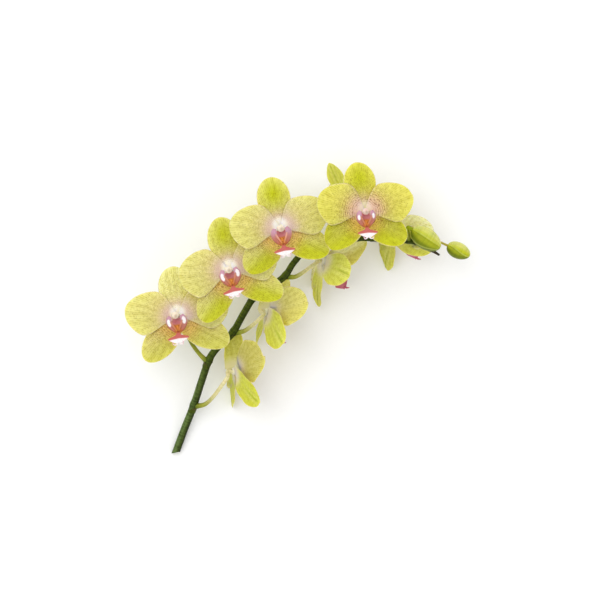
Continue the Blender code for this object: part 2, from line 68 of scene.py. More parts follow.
# %% Colours and nodes
def linear(colour):
    """sRGB hex to linear light: c / 12.92 up to 0.04045, above that ((c + 0.055) / 1.055) to the power
    2.4."""
    srgb = np.array([int(colour[i:i + 2], 16) for i in (1, 3, 5)]) / 255
    return np.where(srgb <= 0.04045, srgb / 12.92, ((srgb + 0.055) / 1.055) ** 2.4)


def rgba(colour):
    """The same colour with a full alpha, as a shader's socket takes it."""
    return (*linear(colour), 1.0)


def add(tree, kind, inputs=None, **settings):
    """Adds one node. settings are its own choices; inputs maps its sockets to values, to other nodes'
    sockets or to nodes, which then give their first live output."""
    made = tree.nodes.new("ShaderNode" + kind)
    for key, value in settings.items():
        setattr(made, key, value)
    for key, value in (inputs or {}).items():
        if isinstance(value, bpy.types.Node):
            value = next(one for one in value.outputs if one.enabled)
        if isinstance(value, bpy.types.NodeSocket):
            tree.links.new(value, made.inputs[key])
        else:
            made.inputs[key].default_value = value
    return made


def new_material(name, **plain):
    """A material, its node tree and its Principled shader, whose plain values are given by socket name."""
    made = bpy.data.materials.new(name)
    made.use_nodes = True
    shader = made.node_tree.nodes["Principled BSDF"]
    for key, value in plain.items():
        shader.inputs[key.replace("_", " ")].default_value = value
    return made, made.node_tree, shader


print("yellow #DAD594 in linear light:", np.round(linear("#DAD594"), 3).tolist())

# %% Floor and light
FLOOR_SIZE = 6.0               # m
KEY_PLACE = (-0.5, 0.5, 1.95)  # m
KEY_SIZE = 1.4                 # m
KEY_WATTS = 13.5
SURROUND = 0.93                # strength of the white all round

world = bpy.data.worlds.new("studio surround")
world.use_nodes = True
world.node_tree.nodes["Background"].inputs["Color"].default_value = (1, 1, 1, 1)
world.node_tree.nodes["Background"].inputs["Strength"].default_value = SURROUND
bpy.context.scene.world = world
bpy.context.scene.view_settings.view_transform = "Standard"

key = bpy.data.objects.new("key light", bpy.data.lights.new("key light", "AREA"))
key.data.energy = KEY_WATTS
key.data.size = KEY_SIZE
key.location = KEY_PLACE
direction = -np.array(KEY_PLACE)
key.rotation_euler = (float(np.arctan2(np.hypot(*direction[:2]), -direction[2])), 0,
                      float(np.arctan2(-direction[0], direction[1])))
bpy.context.scene.collection.objects.link(key)

half = FLOOR_SIZE / 2
floor_corners = [(-half, -half, 0), (half, -half, 0), (half, half, 0), (-half, half, 0)]
floor_mesh = bpy.data.meshes.new("floor")
floor_mesh.from_pydata(floor_corners, [], [(0, 1, 2, 3)])
floor = bpy.data.objects.new("floor", floor_mesh)
# Uncoated studio paper: matt, with fibre clouds about 3 mm wide that hardly show.
paper, tree, shader = new_material("matte white paper", Roughness=0.9, Specular_IOR_Level=0.2)
point = add(tree, "TexCoord").outputs["Object"]
grain = add(tree, "TexNoise", {"Vector": point, "Scale": 300.0})
whites = add(tree, "Mix", {0: grain, 6: rgba("#FCFCFC"), 7: rgba("#F9F9F9")}, data_type="RGBA")
tree.links.new(whites.outputs[2], shader.inputs["Base Color"])
floor_mesh.materials.append(paper)
bpy.context.scene.collection.objects.link(floor)
print("panel from the stem in m:", round(float(np.linalg.norm(direction)), 2), "floor in m:", FLOOR_SIZE)

# %% [markdown]
# ## Surfaces from numbers
# Petals, stalks, buds and the lip are all the same kind of thing to the computer: a closed ring of points
# carried along a path. A petal is such a tube pressed flat. Sculpting or subdividing a low mesh would also
# work, but a formula keeps each surface next to the solid that it stands for, and it can colour what it
# makes: every point carries its ground colour, its place for the fine patterns and how many spots it has.

# %% Closed surfaces
def together(*values):
    """Values side by side at each point, stretched to the same rows and columns."""
    return np.stack(np.broadcast_arrays(*values), -1)


def shell(rings, **marks):
    """A closed surface through rings of points, (rings, sides, 3). Each ring joins the next with quads, and
    the two end rings close on their middle points. marks are what the material reads: arrays that stretch
    to (rings, sides, values), so one row or one value may stand for all. The volume, the sum of a . (b x c)
    / 6 over its faces, tells whether the faces must be turned to point outwards."""
    count, sides = rings.shape[:2]
    here = np.arange(count * sides).reshape(count, sides)
    beside = np.roll(here, -1, axis=1)
    quads = np.stack([here[:-1], beside[:-1], beside[1:], here[1:]], -1).reshape(-1, 4)
    first, last = count * sides, count * sides + 1
    caps = np.concatenate([together(first, beside[0], here[0]), together(last, here[-1], beside[-1])])

    def close(values):
        """The values of the rings' points, then those of the two middle points."""
        full = np.broadcast_to(values, (count, sides, values.shape[-1]))
        return np.concatenate([full.reshape(count * sides, -1), full[:1].mean(1), full[-1:].mean(1)])

    points = close(rings)
    corners = np.concatenate([quads[:, :3], quads[:, [0, 2, 3]], caps])
    a, b, c = (points[corners[:, i]] for i in range(3))
    if (a * np.cross(b, c)).sum() < 0:
        quads, caps = quads[:, ::-1], caps[:, ::-1]
    marks = {key: close(values) for key, values in marks.items()}
    return dict(points=points, quads=quads, caps=caps, marks=marks)


def piece(name, shells, material, nodes):
    """One object from closed surfaces in millimetres. It rides on the part and stands for the given solids.
    It has the first surface's marks, which are 0 on the others where they have none."""
    faces, start = [], 0
    for one in shells:
        faces += (one["quads"] + start).tolist() + (one["caps"] + start).tolist()
        start += len(one["points"])
    points = np.concatenate([one["points"] for one in shells]) - (*PLAN_CENTRE, 0.0)
    mesh = bpy.data.meshes.new(name)
    mesh.from_pydata((points * MM).tolist(), [], faces)
    for key in shells[0]["marks"]:
        values = np.concatenate([one["marks"].get(key, 0 * one["points"]) for one in shells])
        kind, member = "FLOAT_VECTOR", "vector"
        if key == "ground":
            values = np.concatenate([values, np.ones((len(values), 1))], 1)
            kind, member = "FLOAT_COLOR", "color"
        mesh.attributes.new(key, kind, "POINT").data.foreach_set(member, values.astype("f").ravel())
    mesh.materials.append(material)
    mesh.shade_smooth()
    made = bpy.data.objects.new(name, mesh)
    bpy.context.scene.collection.objects.link(made)
    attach(made, "root")
    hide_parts(*nodes)
    return made


def unit(vectors):
    """Vectors at length one."""
    return vectors / np.linalg.norm(vectors, axis=-1, keepdims=True)


def sheet(middle, half_thickness, front):
    """Rings round a middle surface (rows, columns, 3): its front face out along the normals, then its back
    face in the other order. Where the half thickness is 0, at the rims, the two faces meet."""
    normal = unit(np.cross(np.gradient(middle, axis=1), np.gradient(middle, axis=0)))
    normal *= np.sign((normal @ front).sum())
    offset = normal * half_thickness[..., None]
    return both(middle + offset, middle - offset)


def both(front, back):
    """Values on a sheet's two faces, in the order of its rings. The rims belong to the front."""
    return np.concatenate([front, back[:, -2:0:-1]], 1)


def smooth(points, steps):
    """A Catmull-Rom curve through the points, with steps pieces to each span."""
    p = np.asarray(points, float)
    p = np.concatenate([[2 * p[0] - p[1]], p, [2 * p[-1] - p[-2]]])
    t = (np.arange(steps) / steps)[:, None]
    spans = [b + 0.5 * ((c - a) * t + (2 * a - 5 * b + 4 * c - d) * t ** 2 + (3 * b - a - 3 * c + d) * t ** 3)
             for a, b, c, d in zip(p, p[1:], p[2:], p[3:])]
    return np.concatenate([*spans, [p[-2]]])


def tube(line, radius, sides):
    """Rings round a line. Each is a circle whose radius may differ round it, (rings, sides). The frame is
    carried along the line without twist: the last cross direction, less its part along the new tangent."""
    tangent = unit(np.gradient(line, axis=0))
    across = [unit(np.cross(tangent[0], [0, 0, 1.0]))]
    for way in tangent[1:]:
        across.append(unit(across[-1] - across[-1] @ way * way))
    across = np.array(across)
    other = np.cross(tangent, across)
    turn = np.arange(sides) * 2 * np.pi / sides
    spoke = np.cos(turn)[None, :, None] * across[:, None] + np.sin(turn)[None, :, None] * other[:, None]
    return line[:, None] + np.broadcast_to(radius, spoke.shape[:2])[..., None] * spoke


def ball(centre, radii, axes, rings=16, sides=24):
    """Rings round an ellipsoid whose half sizes lie along the given axes."""
    polar = np.linspace(0.02, np.pi - 0.02, rings)[:, None]
    turn = np.arange(sides)[None] * 2 * np.pi / sides
    ways = together(np.sin(polar) * np.cos(turn), np.sin(polar) * np.sin(turn), np.cos(polar))
    return np.asarray(centre) + (ways * radii) @ axes


test_ball = shell(ball((0, 0, 0), (1, 1, 1), np.eye(3)))
print("a small ball: points", len(test_ball["points"]), "quads", len(test_ball["quads"]))

# %% Colour mixing
def mix(one, other, share):
    """One colour towards another, by a share at each point."""
    return one + (other - one) * np.clip(share, 0, 1)[..., None]


def rise(x, low, high):
    """A smooth step from 0 at low to 1 at high: 3 q^2 - 2 q^3 of how far x has come."""
    q = np.clip((x - low) / (high - low), 0, 1)
    return q * q * (3 - 2 * q)


def hill(x, middle, width):
    """A bell: exp of minus the squared distance from the middle, in widths."""
    return np.exp(-((x - middle) / width) ** 2)


halves = np.array((0, 0.5, 1))
print("rise and hill at 0, a half and 1:", rise(halves, 0, 1), hill(halves, 0, 1).round(2))

# %% [markdown]
# ## The flowers' plan
# A moth orchid flower has three sepals behind, one up and two down to the sides, and two broad petals
# before them. Together they are its tepals. Each lies along its own axis, turned from the flower's right
# side by an angle. The numbers are the solids' own, in millimetres and degrees: length, half widths, where
# it is widest, how its outline rises and rounds off, how it lifts, bends and cups.

# %% Tepals, flowers and where they are
DORSAL = dict(length=40, width=(12.6, 12.6), widest=(0.58, 0.58), rise=(1.3, 1.3), tip=(2.0, 2.0), claw=3.0,
              lift=4, arc=12, cup=-2.0, start=1.0, layer=0.0, angle=90, vein_root=14)
LATERAL = dict(length=42, width=(12.3, 13.3), widest=(0.56, 0.48), rise=(1.3, 1.0), tip=(1.9, 1.8), claw=3.2,
               lift=4, arc=10, cup=-1.5, start=1.0, layer=0.0, angle=-38, vein_root=14)
PETAL = dict(length=39.5, width=(17.5, 17.3), widest=(0.45, 0.60), rise=(1.05, 2.0), tip=(1.6, 1.4), claw=2.6,
             lift=11, arc=16, cup=-2.2, start=1.2, layer=2.2, angle=10, vein_root=3)
TEPALS = {
    "dorsal": (DORSAL, 1),
    "sepal_right": (LATERAL, 1),
    "sepal_left": (LATERAL, -1),
    "petal_right": (PETAL, 1),
    "petal_left": (PETAL, -1),
}


def bend(turn=0, lift=0, arc=0, length=1.0, width=1.0, near=1.0, twist=0, base=1.0):
    """How one tepal departs from its kind: degrees for turn, lift and arc, then factors for its length, its
    width and the width of its near side alone; last the degrees it twists about its own axis and a factor
    for the width of its root."""
    return dict(turn=turn, lift=lift, arc=arc, length=length, width=width, near=near, twist=twist, base=base)


BLOOMS = {
    "bloom_1": dict(at=(-49.9, -54.0, 28), azimuth=2, elevation=-16, roll=-5, size=0.92,
                    bends=dict(dorsal=bend(0, 7, -5, 0.84, 0.86, near=0.6, twist=44, base=3),
                               sepal_right=bend(0, 5, -4, 1, 0.95, base=2),
                               sepal_left=bend(-6, 6, -24, 1, 0.96, base=2.6),
                               petal_right=bend(0, -3, base=1.5),
                               petal_left=bend(4, 10, -12, 1.03, near=1.15, base=3)),
                    stalk=((-78.4, -81.4, 15), (-72.3, -79.4, 18.5), (-66.2, -73.8, 22.5), (-60.3, -66.1, 28),
                           (-54.9, -58.4, 32.5))),
    "bloom_2": dict(at=(-91.1, -12.8, 60), azimuth=9, elevation=83, roll=9, size=0.97,
                    bends=dict(dorsal=bend(-3, 0, 0, 0.96), sepal_right=bend(2, 0, 0, 1.03, 0.97, base=1.9),
                               sepal_left=bend(-7, 0, 0, 0.97, 0.94, base=1.9),
                               petal_left=bend(6, 0, 0, 1.02)),
                    stalk=((-71.6, -45.5, 32), (-76, -40.9, 34), (-81.2, -33.6, 38), (-87.2, -21.8, 45))),
    "bloom_3": dict(at=(-25.3, -9.3, 31), azimuth=-12, elevation=-20, roll=-6, size=0.94,
                    bends=dict(dorsal=bend(-10, 17, -13, 0.86, 0.95, twist=40, base=3),
                               sepal_right=bend(9, 8, -6, 0.96, 0.72, base=2),
                               sepal_left=bend(-2, 6, -6, 1.02, 1.1, base=2),
                               petal_right=bend(0, 15, -6, base=1.5),
                               petal_left=bend(3, 16, -13, 1.04, base=3)),
                    stalk=((-47.1, -25, 40.5), (-42.2, -23.4, 40.5), (-37, -20, 40), (-31.7, -15.5, 39),
                           (-27.6, -11, 37))),
    "bloom_4": dict(at=(-52.0, 21.0, 67), azimuth=4, elevation=83, roll=14, size=0.99,
                    bends=dict(dorsal=bend(-4, 0, 0, 1.02), sepal_right=bend(0, 0, 0, 1.02, 0.94, base=1.7),
                               sepal_left=bend(-9, 0, 0, 1, 0.95, base=1.7),
                               petal_right=bend(0, 0, 0, 0.92, 0.97),
                               petal_left=bend(0, 0, 0, 0.96, 1.04)),
                    stalk=((-36.4, 3.8, 48.3), (-40.5, 6.8, 49.5), (-45.3, 11.2, 52), (-49.7, 16.5, 55))),
    "bloom_5": dict(at=(17.3, 29.0, 30), azimuth=-19, elevation=-30, roll=-27, size=0.93,
                    bends=dict(dorsal=bend(-4, 18, -12, 0.95, base=2),
                               sepal_right=bend(2, 11, -28, 0.95, 0.78, base=2),
                               sepal_left=bend(-4, 6, -4, 0.93, 1.08, base=2),
                               petal_right=bend(0, 12, -6, 1, 0.85),
                               petal_left=bend(0, 16, -8, 1, 1, 0.7, base=2)),
                    stalk=((-8.6, 16.7, 49), (-3.8, 17.4, 47.5), (1.9, 20.5, 45), (7.5, 24.6, 42),
                           (12.1, 28.1, 39))),
    "bloom_6": dict(at=(-14.7, 52.1, 71), azimuth=7, elevation=81, roll=11, size=0.97,
                    bends=dict(dorsal=bend(0, 0, 0, 1, 1.04), sepal_right=bend(3, 0, 0, 0.97, base=1.7),
                               sepal_left=bend(-3, 0, 0, 0.96, 1.03, base=1.7),
                               petal_right=bend(8, 0, 0, 0.98, 0.96),
                               petal_left=bend(6, 0, 0, 0.98)),
                    stalk=((1.5, 38.2, 51), (-2.6, 40.4, 52.5), (-7.5, 43.8, 55), (-11.9, 47.8, 58))),
    "bloom_7": dict(at=(35.7, 71.8, 25), azimuth=29, elevation=-20, roll=-1, size=0.88,
                    bends=dict(dorsal=bend(0, 3, -4, 0.98, 0.9, near=1.35, twist=12),
                               sepal_right=bend(3, 8, -5, 0.98),
                               sepal_left=bend(6, 0, 0, 0.97), petal_right=bend(0, 3)),
                    stalk=((25.5, 47.7, 48.5), (24.4, 52.6, 46), (25.2, 59.1, 42), (28.3, 65.3, 37))),
    "bloom_8": dict(at=(47.6, 64.9, 71), azimuth=-2, elevation=80, roll=4, size=0.92,
                    bends=dict(dorsal=bend(4, 0, 0, 1, 1.06), sepal_right=bend(0, 0, 0, 0.96, 1.03, base=1.7),
                               sepal_left=bend(-2, 0, 0, 0.95, 0.94, near=1.25, base=1.7),
                               petal_right=bend(7, 0, 0, 1.02),
                               petal_left=bend(10, 0, 0, 1, 1.04)),
                    stalk=((43.1, 48.8, 50), (43.5, 52.5, 51.5), (44.9, 57.2, 54), (46.7, 62, 58))),
    "bloom_9": dict(at=(70.6, 51.0, 22), azimuth=2, elevation=-38, roll=-6, size=0.85,
                    bends=dict(sepal_right=bend(-5, 14, -8, 1.02),
                               sepal_left=bend(8, 19, -13, 0.96, 0.96, 1.2, base=2),
                               petal_right=bend(0, 9, -7), petal_left=bend(-15, 15, -11, 0.96, 0.9)),
                    stalk=((58.4, 46.7, 43), (58.1, 48.7, 39.5), (59.7, 50.7, 35), (62.5, 51.8, 31))),
}


def flower_axes(bloom):
    """The flower's right, up and front directions: front from azimuth and elevation, up the part of +Y
    square to it, then both turned by the roll."""
    a, e, r = np.radians([bloom["azimuth"], bloom["elevation"], bloom["roll"]])
    front = np.array([np.cos(e) * np.cos(a), np.cos(e) * np.sin(a), np.sin(e)])
    up = unit(np.array([0.0, 1.0, 0.0]) - front[1] * front)
    right = np.cross(up, front)
    return np.array([np.cos(r) * right + np.sin(r) * up, np.cos(r) * up - np.sin(r) * right, front])


def in_flower(bloom, local):
    """Points from the flower's own axes (right, up, front) to the part's frame."""
    return np.array(bloom["at"], float) + bloom["size"] * np.asarray(local, float) @ flower_axes(bloom)


facing_up = [name for name, bloom in BLOOMS.items() if bloom["elevation"] > 0]
print("flowers:", len(BLOOMS), "facing the camera:", facing_up)

# %% [markdown]
# ## A tepal
# Real tepals are thin, a little fleshy at the middle and fine at the rim, with a shallow groove along the
# midrib that shows as a keel behind. No two are alike: the rims wave by half a millimetre and some blades
# twist. The lower flowers carry the stem's weight, and their petals bend along the floor where they meet
# it.

# %% The tepal's middle surface
BLADE = 0.8              # mm thick at the middle
FLOOR_BEND = 5.0         # below this height a petal starts to bend along the floor
FLOOR_REACH = 7.0        # what would lie this far below that height lies flat
FLOOR_SLIDE = 0.25       # and slides forward by this share of what the floor takes from its depth
ROWS, COLUMNS = 48, 38
CURVE_STEPS = 100        # in which a tepal's bent middle line is summed up
LAST_ROW = 0.9999        # of the length, just short of the tip, where the width would be 0
CLOSER_AT_RIMS = 0.35    # share of the columns' places that follows a sine, which draws them to the rims
GROOVE_DEPTH, GROOVE_WIDTH = 0.32, 1.1
RIM_WAVE = dict(dorsal=0.45, sepal_right=0.5, sepal_left=0.5, petal_right=0.75, petal_left=0.75)

chance = np.random.default_rng(5)


def side_width(t, claw, widest, start_power, tip_power):
    """Half width of one side as a share of its largest: a sine from the claw, then an ellipse-like round
    tip."""
    up = claw + (1 - claw) * np.sin(np.clip(t / widest, 0, 1) * np.pi / 2) ** start_power
    past = np.clip(t - widest, 0, None) / (1 - widest)
    return np.where(t < widest, up, np.sqrt(np.clip(1 - past ** tip_power, 0, 1)))


def tepal_middle(kind, change, wave):
    """Middle surface in the tepal's own axes: x along it, y to its near side, z to the flower's front. x
    and z come from summing cos and sin of a slope that falls from lift to lift - arc, and a twist turns y
    and the depth about that middle line. Returns it with its t, its s and its flat y."""
    t = (np.sin(np.linspace(0, 1, ROWS) * np.pi / 2) * LAST_ROW)[:, None]
    even = np.linspace(-1, 1, COLUMNS)[None]
    s = (1 - CLOSER_AT_RIMS) * even + CLOSER_AT_RIMS * np.sin(even * np.pi / 2)
    near, far = (w * change["width"] for w in kind["width"])
    near *= change["near"]
    root = kind["claw"] * change["base"]
    near_edge = near * side_width(t, root / near, kind["widest"][0], kind["rise"][0], kind["tip"][0])
    far_edge = far * side_width(t, root / far, kind["widest"][1], kind["rise"][1], kind["tip"][1])
    y = np.where(s < 0, -s * near_edge, -s * far_edge)
    fine = np.linspace(0, 1, CURVE_STEPS + 1)
    slope = np.radians(kind["lift"] + change["lift"]) - np.radians(kind["arc"] + change["arc"]) * fine
    length = kind["length"] * change["length"]
    out = np.concatenate([[0], np.cumsum(np.cos(slope[:-1]))]) * length / CURVE_STEPS
    up = np.concatenate([[0], np.cumsum(np.sin(slope[:-1]))]) * length / CURVE_STEPS
    lean = np.interp(t, fine, slope)
    depth = kind["cup"] * (y / max(near, far)) ** 2
    depth = depth - GROOVE_DEPTH * hill(y, 0, GROOVE_WIDTH) * np.sin(np.pi * t) ** 1.5
    ripple = np.sin(2 * np.pi * (wave["count"] * t + wave["phase"] + 0.27 * np.sign(s)))
    depth = depth + wave["size"] * ripple * np.abs(s) ** 3 * rise(t, 0.15, 0.5) + wave["twist"] * s * t ** 2
    turned = np.radians(change["twist"]) * rise(t, -1, 0.35)
    across = y * np.cos(turned) - depth * np.sin(turned)
    proud = y * np.sin(turned) + depth * np.cos(turned)
    x = kind["start"] + np.interp(t, fine, out) - proud * np.sin(lean)
    z = np.interp(t, fine, up) + proud * np.cos(lean)
    return together(x, across, z), *np.broadcast_arrays(t, s, y)


def rest_on_floor(points, front):
    """Bends what would reach below the floor along it, towards the flower's front. Below FLOOR_BEND a
    height eases down along a sine and lies flat from FLOOR_REACH on."""
    least = BLADE / 2
    height = points[..., 2]
    share = np.clip((FLOOR_BEND - height) / FLOOR_REACH, 0, 1)
    eased = FLOOR_BEND - (FLOOR_BEND - least) * np.sin(share * np.pi / 2)
    eased = np.where(height < FLOOR_BEND, eased, height)
    moved = points.copy()
    moved[..., :2] += unit(front[:2]) * ((eased - height) * FLOOR_SLIDE)[..., None]
    moved[..., 2] = eased
    return moved


still = dict(size=0, count=1, phase=0, twist=0)
for name, (kind, side) in TEPALS.items():
    size = np.ptp(tepal_middle(kind, bend(), still)[0], axis=(0, 1))
    print(name, "without its bends: length, width, depth in mm:", size.round(1).tolist())

# %% [markdown]
# ## The tepals' colours
# The yellow is carotenoid pigment, greener along the sepals' middle where chlorophyll stays. At the heart
# it gives way to white and a violet haze, and below, beside the lip, to orange. The rims are faintly pink.
# Behind, the tissue is paler and duller, with a green keel on the sepals and a grey violet stain at the
# root. All of this is broad and soft, so each point can carry it; veins and spots are finer than the points
# and come from the material.

# %% Ground colours of a tepal
YELLOW = linear("#DAD594")
WARM_YELLOW = linear("#DCCE9C")
GREEN_YELLOW = linear("#C1C61C")
HEART_WHITE = linear("#F8F4F0")
HEART_COOL = linear("#F8F0EA")      # of the dorsal sepal's root: painted cooler, to cancel the yellow light that the other tepals throw on it
HEART_VIOLET = linear("#D8C0BC")
HEART_PEACH = linear("#E8BEA4")
ORANGE = linear("#E2B860")
RIM_PINK = linear("#F0D6A8")
BACK_YELLOW = linear("#DAD47C")
BACK_GREEN = linear("#CFD354")
KEEL_GREEN = linear("#93A81E")
ROOT_VIOLET = linear("#DCCBC4")
BACK_OLIVE = linear("#B2B614")
BACK_DULL = linear("#B4AE58")
PALE_YELLOW = linear("#FFFCD6")
DEEP_YELLOW = linear("#DAD45A")
RIM_SHARE = 1.1 / 12     # of the half width: the rosy rim is 1.1 mm wide where a sepal is 12 mm to each side


def habit(green=0.8, rings=0.0, deep=0.1, window=1.0, keel=0.15, painted_light=0.0, olive=0.0, lean=((0, 0), (0, 0))):
    """How one flower differs, as shares: how green its sepals' middles are, how far its spots run into
    rings, how deep its yellow is, how wide the white patches on its lip, how pink the keels, how much painted
    light pales its dorsal and its tepals' backs, where it lies in the other flowers' shade, and how olive its
    older backs. lean is how far, in mm, the column's tip and the lip's middle stand beside the flower's axis."""
    return dict(green=green, rings=rings, deep=deep, window=window, keel=keel, painted_light=painted_light, olive=olive,
                lean=lean)


# Low flowers that lie in the others' shade get painted light: their dorsal and their tepals' backs are
# painted paler.
HABIT = {
    "bloom_1": habit(green=0.15, olive=0.55),
    "bloom_2": habit(green=0.2, painted_light=0.6, olive=0.5, lean=((-2.6, 0.9), (-2.3, 0.6))),
    "bloom_3": habit(green=0.15, painted_light=0.1),
    "bloom_4": habit(green=0.95, lean=((-1.8, 1.0), (-1.6, 1.4))),
    "bloom_5": habit(painted_light=0.6, lean=((0, 0), (-3.5, -0.8))),
    "bloom_6": habit(green=1.0, deep=0.2, window=0.0, keel=0.55, lean=((-1.0, 0.0), (-1.4, 0.2))),
    "bloom_7": habit(olive=0.25),
    "bloom_8": habit(green=0.95, rings=1.0, deep=0.75, window=0.75, lean=((-0.9, -0.2), (-0.9, 0.2))),
    "bloom_9": habit(painted_light=1.0, olive=0.15, lean=((0, 0), (-5.8, -2.2))),
}


def tepal_colours(name, own, t, s, y, radius, height):
    """Ground colours of the front and the back, laid over each other from the broadest to the finest. own
    is the flower's habit; radius and height are measured from the flower's middle, in mm."""
    petal = name.startswith("petal")
    edge = rise(np.abs(s), 1 - RIM_SHARE, 1) * rise(t, 0.1, 0.3) + rise(t, 0.975, 1)
    yellow = mix(YELLOW, DEEP_YELLOW, own["deep"])
    if petal:
        front = mix(yellow, WARM_YELLOW, (0.7 - 0.5 * own["deep"]) * rise(t, 0.75, 0.15))
        front = mix(front, GREEN_YELLOW, 0.15 * hill(s, 0.5, 0.5) * hill(t, 0.55, 0.3))
    elif name == "dorsal":
        # Painted light: a dorsal in the shade of the tepals before it is painted paler.
        front = mix(yellow, PALE_YELLOW, 0.5 * own["painted_light"])
        front = mix(front, GREEN_YELLOW, own["green"] * hill(t, 0.68, 0.33) * hill(s, 0, 0.85))
    else:
        inner = rise(-s, -0.5, 0.9)
        greener = (0.35 + 0.6 * own["green"]) * rise(t, 0.15, 0.55) * (1 - 0.6 * inner)
        front = mix(yellow, GREEN_YELLOW, greener)
        front = mix(front, WARM_YELLOW, 0.7 * inner * rise(t, 1.0, 0.4))
        front = mix(front, BACK_DULL, 0.5 * own["olive"])
        front = mix(front, ORANGE, 0.6 * hill(radius, 12, 7) * rise(height, 2, -5))
        front = mix(front, BACK_OLIVE, 0.8 * own["rings"] * inner * rise(radius, 9, 16))
    above = radius - 5.0 * height / np.maximum(radius, 1)
    heart = 1 - 0.45 * own["rings"]
    upper = rise(height, -6.5, -0.5)
    peach = (0.25 if name == "dorsal" else 0.85) * own["rings"]
    front = mix(front, HEART_PEACH, peach * hill(radius, 8, 8) * upper)
    front = mix(front, HEART_VIOLET, 0.85 * heart * hill(radius, 8.5, 6) * upper)
    white = 0.9 - 0.6 * own["rings"]
    front = mix(front, HEART_WHITE, white * rise(above, 6.5, 1.5) * rise(height, -5, 0))
    # Painted light: the dorsal's root is painted a cooler white, against the yellow light from the other
    # tepals.
    if name == "dorsal":
        front = mix(front, HEART_COOL, (0.9 - 0.6 * own["rings"]) * rise(above, 6.5, 2))
    front = mix(front, RIM_PINK, 0.7 * edge)
    if petal:
        back = mix(BACK_YELLOW, WARM_YELLOW, 0.25 * rise(t, 0.6, 0.1))
        back = mix(back, BACK_DULL, own["olive"])
        # Painted light: the near side of a petal's back is painted paler where the flower lies in shade.
        back = mix(back, PALE_YELLOW, own["painted_light"] * rise(-s, -0.4, 0.1))
    else:
        green = own["green"] if name == "dorsal" else 1.0
        back = mix(BACK_YELLOW, BACK_GREEN, green)
        back = mix(back, BACK_OLIVE, 0.6 * own["olive"])
        beside_keel = green * hill(np.abs(y), 2.8, 1.6) * rise(t, 0.3, 0.6)
        # Painted light makes the sepal's back a little paler; the paler stripes beside the keel are the
        # tissue's own.
        back = mix(back, PALE_YELLOW, 0.1 * own["painted_light"] + 0.1 * beside_keel)
        back = mix(back, KEEL_GREEN, 0.7 * green * hill(y, 0, 0.7) * rise(t, 0.4, 0.7) * rise(t, 1.0, 0.9))
    stained = 0.55 if name == "dorsal" else 1
    back = mix(back, HEART_WHITE, 0.3 * stained * rise(radius, 15, 5))
    back = mix(back, ROOT_VIOLET, 0.65 * stained * hill(radius, 5.5, 6))
    back = mix(back, RIM_PINK, 0.55 * edge)
    return front, back


def spot_shares(name, own, s, radius, height):
    """How likely a cell of the spot pattern holds a spot, how strongly broken rings show and how dark the
    spots are, on the front."""
    if name.startswith("petal"):
        share = 0.95 * rise(radius, 38, 14) + 0.05
        ring = (0.25 + 0.75 * own["rings"]) * rise(radius, 26, 17)
        depth = 0.42 + 0.1 * own["rings"]
    elif name == "dorsal":
        share = 0.95 * rise(radius, 38, 16) + 0.05
        ring = (0.25 + 0.5 * own["rings"]) * rise(radius, 20, 12)
        depth = 0.5 + 0.15 * own["rings"]
    else:
        inner = rise(-s, -0.6, 0.7)
        share = (0.5 + 0.5 * inner) * rise(radius, 42, 19) + 0.05
        ring = (0.85 + 0.15 * own["rings"]) * rise(radius, 28, 14) * rise(height, 0, -5)
        depth = 0.5 + (0.35 + 0.3 * own["rings"]) * inner * rise(radius, 34, 18)
    open_heart = rise(radius, 6.5, 10.5)
    return share * open_heart, ring * open_heart, depth


print("deepest yellow:", max(HABIT, key=lambda one: HABIT[one]["deep"]), "palest backs:",
      max(HABIT, key=lambda one: HABIT[one]["painted_light"]))

# %% Build one tepal
VEIN_REACH = 22          # mm from the veins' root to where they stand at their spacing


def tepal(bloom, name, own, number):
    """A closed, coloured tepal in its place, turned about the flower's middle by its angle. Its thickness
    falls to the rim as the root of 1 - |s|^2.5. The material's place is the fan of the veins, as a length,
    and the radius."""
    kind, side = TEPALS[name]
    change = bloom["bends"].get(name, bend())
    wave = dict(size=RIM_WAVE[name], count=chance.uniform(1.6, 2.6), phase=chance.uniform(),
                twist=chance.uniform(-1, 1))
    surface, t, s, flat_y = tepal_middle(kind, change, wave)
    a = np.radians(kind["angle"] + change["turn"])
    x = surface[..., 0] * np.cos(a) - surface[..., 1] * np.sin(a)
    y = surface[..., 0] * np.sin(a) + surface[..., 1] * np.cos(a)
    local = together(x * side, y, surface[..., 2] + kind["layer"])
    front = flower_axes(bloom)[2]
    middle = rest_on_floor(in_flower(bloom, local), front)
    rim = np.sqrt(np.clip(1 - np.abs(s) ** 2.5, 0, 1)) * np.sqrt(np.clip(1 - t ** 8, 0, 1))
    rings = sheet(middle, BLADE / 2 * rim, front)
    rings[..., 2] = np.maximum(rings[..., 2], 0)
    radius = np.hypot(x, y)
    from_root = kind["start"] + t * kind["length"] + kind["vein_root"]
    fan = np.arctan2(flat_y, from_root) * (kind["vein_root"] + VEIN_REACH)
    place = together(fan, radius, number)
    spots, broken_rings, depth = spot_shares(name, own, s, radius, y)
    ground = both(*tepal_colours(name, own, t, s, flat_y, radius, y))
    zone = both(together(spots, broken_rings, depth), together(0.2 * spots, 0, 0.5))
    return shell(rings, ground=ground, place=both(place, place), zone=zone)


print("mm from the veins' start to the root, petals:", PETAL["vein_root"], "sepals:", DORSAL["vein_root"])

# %% [markdown]
# ## Petal tissue as a material
# Orchid tepals are layers of rounded, water-filled cells: matt to the eye, with a soft inner glow because
# light enters the tissue and comes out again, which subsurface scattering gives. The veins are lines of
# equal fan, 1.1 mm apart, drawn by a sine and broken by a noise. The spots are cells of a Voronoi pattern,
# 1.1 mm apart: a random number for each cell decides whether it holds a spot. Real spots are near 0.4 mm;
# they are drawn a little larger, because a pixel of the picture covers 0.75 mm. Round the heart the spots
# run together into broken rings, which are a sine of the distance from the flower's middle, warped and
# interrupted by noise.

